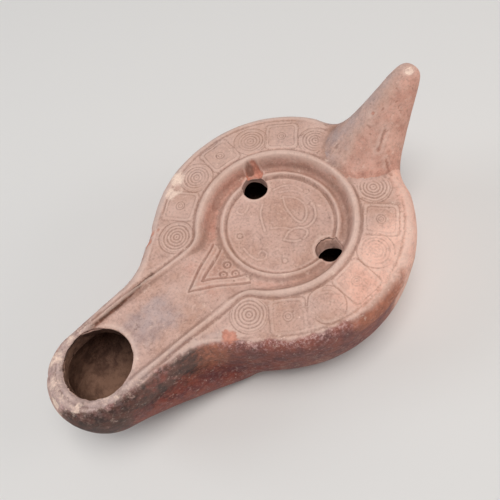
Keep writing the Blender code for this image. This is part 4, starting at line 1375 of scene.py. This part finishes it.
class Place:
    """Measures of every point of the clay, from which its finishes are worked out."""

    def __init__(self, surface):
        self.points = surface.points
        self.x, self.y, self.z = surface.points.T
        self.side = np.abs(self.x)
        self.radius = np.hypot(self.x, self.y)
        self.inset = -OUTLINE.distance(self.x, self.y)
        self.off_ridge = np.abs(-KEYHOLE.distance(self.x, self.y) - RIDGE_FOOT)
        self.depth = plain_top(self.x, self.y) - self.z
        self.up = surface.normals()[:, 2]
        self.slow = PATCHES.at(surface.points, 0.016, 2)
        self.quick = RAGGED.at(surface.points, 0.0040, 3)
        self.wavy_x = self.x + 0.003 * self.slow
        self.wavier_x = self.x + 0.005 * self.slow
        self.wavy_y = self.y + 0.004 * self.slow
        self.ragged_y = self.y + 0.002 * self.quick
        self.inside = surface.kind == INSIDE
        self.outside = ~self.inside
        self.handle = surface.kind == HANDLE
        self.above = self.outside & (self.z > WIDEST_HEIGHT)

    def within(self, name):
        """How far a point lies in a region: 1 inside it, 0 outside, and between at its edges."""
        share = 1.0
        for measure, *ends in REGIONS[name]:
            value = getattr(self, measure)
            for start, end in ends:
                share = share * ease(start, end, value)
        return share

    def spot(self, name):
        """Round spot that fades out from its centre, in space or in the plan."""
        strength, size, centre = SPOTS[name]
        gaps = self.points[:, :len(centre)] - np.array(centre)
        return strength * np.exp(-(gaps ** 2).sum(axis=1) / size ** 2)

    def uneven(self, values, plain, change):
        """Values made stronger and weaker in quick patches, on the outside only."""
        return unit(values * (plain + change * self.quick)) * self.outside


def slipped_wall(place):
    """Side wall under the slip, which begins higher up on the right, and low on the handle."""
    start = SLIP_INSET - SLIP_RISE * place.within("raised slip")
    below = 1.0 - ease(*SLIP_EDGE, place.inset - start + 0.0008 * place.quick)
    below *= place.within("slip")
    low = 1.0 - ease(WIDEST_HEIGHT - SLIP_FADE, WIDEST_HEIGHT, place.z + 0.001 * place.quick)
    return np.where(place.handle, low, np.maximum(below, low)) * place.outside


def dark_finishes(place, wall):
    """Slip, dust on it, soot, rusty brown, and a warmer tone with painted light on the right side."""
    salmon = place.within("salmon")
    slip = wall * (1.0 - 0.85 * salmon) * (1.0 - 0.75 * place.within("slipless tip"))
    dust = unit(wall * (0.12 + 0.78 * ease(0.30, 0.90, place.up + 0.15 * place.quick)))
    soot = 0.80 * place.within("sooty nozzle") + 0.80 * place.within("sooty tip")
    soot = wall * (soot + 0.34 * place.within("sooty flank")) + place.spot("soot")
    edge = np.exp(-(place.inset - RUSTY_INSET) ** 2 / RUSTY_WIDTH ** 2) * place.within("rusty edge")
    edge *= place.z > WIDEST_HEIGHT
    rust = unit(np.maximum(place.spot("neck") * wall, 1.1 * edge))
    return {
        "slip": np.maximum(unit(slip * (0.95 + 0.35 * place.slow)),
                           0.50 * place.within("left edge") * place.outside * (1.0 + 0.8 * place.quick)),
        "soot": unit(soot * (0.75 + 0.55 * place.quick)),
        "rust": rust,
        "dust": dust * (1.0 - 0.85 * rust),
        # salmon clay where the slip is thin, and painted light on the right side and the handle's right
        # half
        "warm_and_lit": highest(place.within("warm lit side"), place.within("warm lit edge"), 0.6 * salmon * wall,
                        0.30 * place.handle * place.within("warm lit handle")) * place.outside,
    }


def highest(*values):
    """Strongest of several finishes at each point, between 0 and 1."""
    return unit(np.maximum.reduce(values))


def blooms_and_rim_light(place):
    """Greyish bloom in the channel and on the right ridge, and painted cool rim light on the far left,
    along the left edges and on the handle's left half.
    """
    left_edge = place.within("left edge") * place.outside
    # painted cool rim light: far left, left edges, nozzle's left edge and handle's left half; bloom:
    # channel and right ridge
    bloom_and_rim_light = [0.35 * place.within("left rim light"), place.within("edge rim light"),
             0.75 * place.handle * place.within("handle rim light"), 0.75 * place.within("channel bloom"),
             1.1 * left_edge, 0.65 * place.within("right ridge")]
    return place.uneven(np.maximum.reduce(bloom_and_rim_light), 0.75, 0.30)


def reds(place):
    """Brick red along the foot of the ridge, in front of the disc and on the handle."""
    ridge = place.within("red ridge") * place.outside * (place.radius < RIDGE_RADIUS) * ~place.handle
    ridge *= 0.40 + 0.35 * place.within("redder left")
    face = place.within("handle face") * (0.80 + 0.5 * place.slow)
    handle = np.where(place.handle, np.maximum(place.within("heel"), face), 0.0)
    red = np.maximum.reduce([ridge, 0.45 * place.within("panel") * place.outside, handle])
    return unit(red * (0.7 + 0.5 * place.slow))


def broken_clay(place, fresh):
    """Fresh clay of the flakes and of the broken place, and the painted shadow in that place's recess."""
    cut = ease(*CUT_REACH, pit_reach(place.x, place.y, PITS[0])) * ease(*CUT_DEPTH, place.depth)
    centre, half_sizes, _, _ = PITS[1]
    # painted shadow under the upper edge of the broken place
    recess = ease(*RECESS_REACH, away(place.x, place.y, centre) / half_sizes[0])
    fresh = np.maximum(fresh, 0.75 * cut * place.outside)
    return fresh * (1.0 - 0.85 * recess), recess


def inner_shade(place):
    """Unslipped inside, beginning lower in the filling holes, and painted shade at its far end."""
    shaft = ease(*SHAFT_RADIUS, place.radius)
    edge = mix(*INNER_START, shaft)
    fade = mix(*INNER_FADE, np.maximum(shaft, place.within("nozzle end")))
    height = place.depth - edge + 0.0005 * place.quick
    inside = place.inside * ease(0.0, 1.0, height / fade)
    # painted shade at the far end of the inside
    far_shade = place.inside * ease(*INNER_FAR_SHADE, place.y + 0.003 * place.quick - 0.25 * place.x)
    return inside, far_shade


def foot_line(place):
    """Painted shade, with some dirt, along the left foot of the channel's ridge."""
    lean = FOOT_LINE_LEAN * np.maximum(0.0, place.y - FOOT_LINE_BEND)
    gap = np.abs(place.x - FOOT_LINE + lean + 0.0002 * place.quick)
    return ease(*FOOT_LINE_EDGE, gap) * place.within("foot line")


def masks(surface, fresh, pale):
    """How much of each finish shows at every point, from 0 to 1."""
    place = Place(surface)
    outside, quick = place.outside, place.quick
    wall = slipped_wall(place)
    found = dark_finishes(place, wall)
    found["bloom_and_rim_light"] = blooms_and_rim_light(place)
    found["red"] = reds(place)
    crust = np.maximum.reduce([place.spot("crust"), place.spot("small crust"), 0.9 * pale])
    found["crust"] = place.uneven(crust, 0.9, 0.8)
    found["inside"], found["far_shade"] = inner_shade(place)
    found["fresh"], recess = broken_clay(place, fresh)
    foot = foot_line(place)
    # Dirt and painted shade in the hollows, painted shade along the ridge's left foot, and painted shadow
    # in the pit's recess
    fine, broad = surface.hollowness(FINE_ROUNDS), surface.hollowness(BROAD_ROUNDS)
    dirt_and_shade = unit(fine / FINE_DEPTH) * 0.50 + unit(broad / BROAD_DEPTH) * 0.10
    dirt_and_shade = np.maximum.reduce([dirt_and_shade * (1.0 - 0.75 * wall), foot, recess])
    found["dirt_and_shade"] = unit(dirt_and_shade * outside)
    worn = unit(-fine / FINE_RISE) * 0.6 + unit(-broad / BROAD_RISE) * 0.5
    worn *= 1.0 - 0.85 * wall
    chalky = place.within("chalky") * (place.radius > CHALKY_RADIUS) * (0.8 + 0.4 * place.slow)
    worn = np.maximum(worn, 0.50 * chalky * unit(1.0 - 2.0 * found["dirt_and_shade"]))
    rim_gap = np.abs(away(place.x, place.y, WICK_CENTRE) - WICK_RADIUS - BURNT_MIDDLE)
    burnt = ease(*BURNT_EDGE, rim_gap) * place.within("burnt rim") * place.above
    found["worn"] = unit(worn * (1.0 - 0.6 * burnt) * outside)
    low_tip = place.within("low tip") * outside
    laid_over = (
        # painted shade along the ridge's left foot, laid into the soot and rust coats
        ("soot", 0.62 * foot * outside),
        ("rust", 0.75 * foot * outside),
        ("soot", 0.24 * burnt),
        ("crust", 0.28 * burnt * (1.0 + quick)),
        ("bloom_and_rim_light", 0.80 * burnt),
        ("soot", low_tip * (0.75 + 0.35 * quick)),
    )
    for name, values in laid_over:
        found[name] = np.maximum(found[name], values)
    found["grit"] = unit(0.35 + 0.9 * burnt + 0.5 * (place.up > 0.8) * place.within("gritty side"))
    for name, share, strengths in SOOTED:
        found[name] *= 1.0 - share * ease(*strengths, found["soot"])
    return found


class Nodes:
    """Short ways to add and join shader nodes."""

    def __init__(self, material):
        material.use_nodes = True
        self.tree = material.node_tree
        self.shader = self.tree.nodes["Principled BSDF"]
        self.place = self.tree.nodes.new("ShaderNodeTexCoord").outputs["Object"]

    def put(self, socket, value):
        if isinstance(value, bpy.types.NodeSocket):
            self.tree.links.new(value, socket)
        else:
            socket.default_value = value

    def add(self, kind, output, inputs, **settings):
        """New node with its settings and inputs. Gives the socket of one output."""
        node = self.tree.nodes.new("ShaderNode" + kind)
        for name, value in settings.items():
            setattr(node, name, value)
        for name, value in inputs.items():
            self.put(node.inputs[name], value)
        return node.outputs[output]

    def noise(self, size, detail, rough=0.55, shift=0.0):
        """Noise about 0.5. size is the width of its features in metres."""
        inputs = {"Vector": self.place, "W": shift, "Scale": 1.0 / size, "Detail": detail,
                  "Roughness": rough}
        return self.add("TexNoise", "Fac", inputs, noise_dimensions="4D")

    def cells(self, size):
        """Distance to the nearest of many scattered points, 0 at the points."""
        return self.add("TexVoronoi", "Distance", {"Vector": self.place, "Scale": 1.0 / size})

    def mask(self, name):
        return self.add("Attribute", "Fac", {}, attribute_name=name)

    def math(self, operation, *values):
        return self.add("Math", 0, dict(enumerate(values)), operation=operation)

    def times(self, first, second):
        return self.math("MULTIPLY", first, second)

    def span(self, value, low, high, start=0.0, end=1.0):
        """Smooth change from start to end as value goes from low to high."""
        inputs = {"Value": value, "From Min": low, "From Max": high, "To Min": start, "To Max": end}
        return self.add("MapRange", "Result", inputs, interpolation_type="SMOOTHSTEP")

    def mix(self, share, first, second, blend_type="MIX"):
        inputs = {0: share, 6: first, 7: second}
        return self.add("Mix", 2, inputs, data_type="RGBA", blend_type=blend_type)

    def blend(self, share, first, second):
        return self.add("Mix", 0, {0: share, 2: first, 3: second}, data_type="FLOAT")

    def mottle(self, size, first, second):
        """Two colours in soft patches."""
        return self.mix(self.span(self.noise(size, 4.0), 0.35, 0.70), first, second)

    def shade(self, strength, colour, size, detail, rough, shift, low, high):
        """Darkens a colour in patches."""
        patches = self.span(self.noise(size, detail, rough, shift), low, high)
        return self.mix(self.times(patches, strength), colour, GREY, "MULTIPLY")


def clay_material():
    material = bpy.data.materials.new("worn_clay")
    nodes = Nodes(material)
    colour = nodes.mottle(0.011, TAN, TAN_DEEP)
    for coat in COATS:
        colour = coated(nodes, colour, *coat)
    colour = speckled(nodes, colour)
    # Dirt and painted shade: darker in the hollows, along the ridge's left foot and in the pit's recess
    colour = nodes.mix(nodes.times(nodes.mask("dirt_and_shade"), 0.60), colour, DIRT_AND_SHADE)
    colour = nodes.mix(nodes.times(nodes.mask("worn"), 0.48), colour, PALE)
    colour = coated(nodes, colour, *CRUST_COAT)
    colour = nodes.mix(nodes.mask("fresh"), colour, nodes.mottle(0.0014, FRESH, FRESH_DEEP))
    # Inside: darker patches at random, and painted shade at the far end
    murk = nodes.span(nodes.noise(0.0036, 5.0, 0.68), 0.38, 0.62)
    murk = nodes.math("MULTIPLY_ADD", murk, 0.55, nodes.times(nodes.mask("far_shade"), 0.60))
    inner = nodes.mix(nodes.math("MINIMUM", murk, 1.0), INNER, INNER_DEEP)
    nodes.put(nodes.shader.inputs["Base Color"], nodes.mix(nodes.mask("inside"), colour, inner))
    rough = nodes.span(nodes.noise(0.0030, 4.0), 0.3, 0.7, 0.68, 0.92)
    rough = nodes.blend(nodes.times(nodes.mask("slip"), 0.6), rough, 0.55)
    nodes.put(nodes.shader.inputs["Roughness"], rough)
    nodes.shader.inputs["Specular IOR Level"].default_value = 0.14
    nodes.put(nodes.shader.inputs["Normal"], grain(nodes))
    return material


def coated(nodes, colour, name, first, second, size, ragged, shift):
    """Lays a mottled coat with a ragged border over a colour."""
    mottle = nodes.span(nodes.noise(size, 4.0, 0.6, shift), 0.36, 0.66)
    border = nodes.math("SUBTRACT", nodes.noise(0.0016, 4.0, 0.7, shift + 0.5), 0.5)
    share = nodes.math("MULTIPLY_ADD", border, ragged * 2.0, nodes.mask(name))
    return nodes.mix(nodes.span(share, 0.12, 0.88), colour, nodes.mix(mottle, first, second))


def speckled(nodes, colour):
    """Pinkish dust on the slip, fine and broad mottling, pale grit and dark specks."""
    streaks = nodes.span(nodes.noise(0.0011, 6.0, 0.78, 31.0), 0.47, 0.61)
    colour = nodes.mix(nodes.times(streaks, nodes.mask("dust")), colour, SLIP_LIGHT)
    colour = nodes.shade(0.28, colour, 0.0034, 5.0, 0.66, 61.0, 0.46, 0.66)
    colour = nodes.shade(0.44, colour, 0.00080, 4.0, 0.70, 65.0, 0.46, 0.62)
    bright = nodes.span(nodes.noise(0.0010, 5.0, 0.75, 67.0), 0.54, 0.68)
    colour = nodes.mix(nodes.times(bright, nodes.times(nodes.mask("grit"), 0.55)), colour, PALE)
    grains = nodes.span(nodes.cells(0.0016), 0.20, 0.12)
    chosen = nodes.span(nodes.noise(0.0030, 2.0, 0.5, 41.0), 0.62, 0.52)
    chosen = nodes.times(nodes.math("SUBTRACT", 1.0, chosen), nodes.mask("grit"))
    colour = nodes.mix(nodes.times(grains, chosen), colour, PALE)
    specks = nodes.span(nodes.noise(0.00060, 3.0, 0.6, 51.0), 0.66, 0.74)
    return nodes.mix(nodes.times(specks, 0.45), colour, DIRT_AND_SHADE)


def grain(nodes):
    """Bump of fine clay grain and small pits, coarser on the inside."""
    height = nodes.times(nodes.noise(0.00080, 5.0, 0.68, 71.0), 0.00022)
    pits = nodes.times(nodes.span(nodes.noise(0.0016, 3.0, 0.6, 81.0), 0.66, 0.74), 0.00012)
    height = nodes.math("SUBTRACT", height, pits)
    lumps = nodes.times(nodes.noise(0.0024, 5.0, 0.66, 91.0), 0.0011)
    height = nodes.math("ADD", height, nodes.times(lumps, nodes.mask("inside")))
    return nodes.add("Bump", "Normal", {"Strength": 0.85, "Distance": 1.0, "Height": height})


def make_lamp():
    mesh = lamp_mesh()
    surface = Surface(mesh)
    soften_joint(surface)
    found = masks(surface, *roughen(surface))
    low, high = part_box("lamp")
    surface.points = np.clip(surface.points, np.array(low) + MIDDLE, np.array(high) + MIDDLE)
    surface.store()
    for name, values in found.items():
        attribute = mesh.attributes.new(name, "FLOAT", "POINT")
        attribute.data.foreach_set("value", values.astype(np.float32))
    mark_all(mesh, 0)
    mesh.materials.clear()
    mesh.materials.append(clay_material())
    mesh.polygons.foreach_set("use_smooth", np.ones(len(mesh.polygons), bool))
    lamp = placed("lamp_clay", mesh)
    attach(lamp, "root")
    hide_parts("lamp")


def view_axes():
    """The camera's sideways, upward and backward directions."""
    back = np.array([math.sin(CAMERA_AZIMUTH) * math.cos(CAMERA_ELEVATION),
                     -math.cos(CAMERA_AZIMUTH) * math.cos(CAMERA_ELEVATION),
                     math.sin(CAMERA_ELEVATION)])
    level = np.array([math.cos(CAMERA_AZIMUTH), math.sin(CAMERA_AZIMUTH), 0.0])
    rise = np.cross(back, level)
    turn, lift = math.cos(CAMERA_ROLL), math.sin(CAMERA_ROLL)
    return level * turn + rise * lift, rise * turn - level * lift, back


def turned_to(axes, place):
    matrix = Matrix.Identity(4)
    for column, axis in enumerate(axes):
        for row in range(3):
            matrix[row][column] = axis[row]
            matrix[row][3] = place[row]
    return matrix


def make_camera():
    data = bpy.data.cameras.new("camera")
    data.sensor_width = SENSOR
    data.lens = SENSOR * FOCAL_PIXELS / PICTURE_PIXELS
    data.clip_start = 0.01
    camera = placed("camera", data)
    target = np.array([*CAMERA_TARGET, DISC_HEIGHT]) - MIDDLE
    camera.matrix_world = turned_to(view_axes(), target + CAMERA_DISTANCE * view_axes()[2])
    bpy.context.scene.camera = camera


def make_light(name, towards, distance, size, power, colour):
    right, up, back = view_axes()
    direction = right * towards[0] + up * towards[1] + back * towards[2]
    direction = direction / np.linalg.norm(direction)
    side = np.cross((0.0, 0.0, 1.0), direction)
    side = side / np.linalg.norm(side)
    data = bpy.data.lights.new(name, "AREA")
    data.size = size
    data.energy = power
    data.color = colour
    light = placed(name, data)
    light.matrix_world = turned_to((side, np.cross(direction, side), direction), direction * distance)


def make_floor():
    mesh = bpy.data.meshes.new("floor")
    reach = FLOOR_REACH
    mesh.from_pydata([(-reach, -reach, 0), (reach, -reach, 0), (reach, reach, 0), (-reach, reach, 0)],
                     [], [(0, 1, 2, 3)])
    material = bpy.data.materials.new("floor")
    material.use_nodes = True
    shader = material.node_tree.nodes["Principled BSDF"]
    shader.inputs["Base Color"].default_value = FLOOR_COLOUR
    shader.inputs["Roughness"].default_value = 0.9
    mesh.materials.append(material)
    placed("floor", mesh)


def make_sky():
    world = bpy.data.worlds.new("sky")
    world.use_nodes = True
    background = world.node_tree.nodes["Background"]
    background.inputs["Color"].default_value = SKY_COLOUR
    background.inputs["Strength"].default_value = SKY_STRENGTH
    bpy.context.scene.world = world


make_lamp()
make_camera()
make_floor()
make_sky()
for light in LIGHTS:
    make_light(*light)
bpy.context.scene.view_settings.view_transform = "Standard"
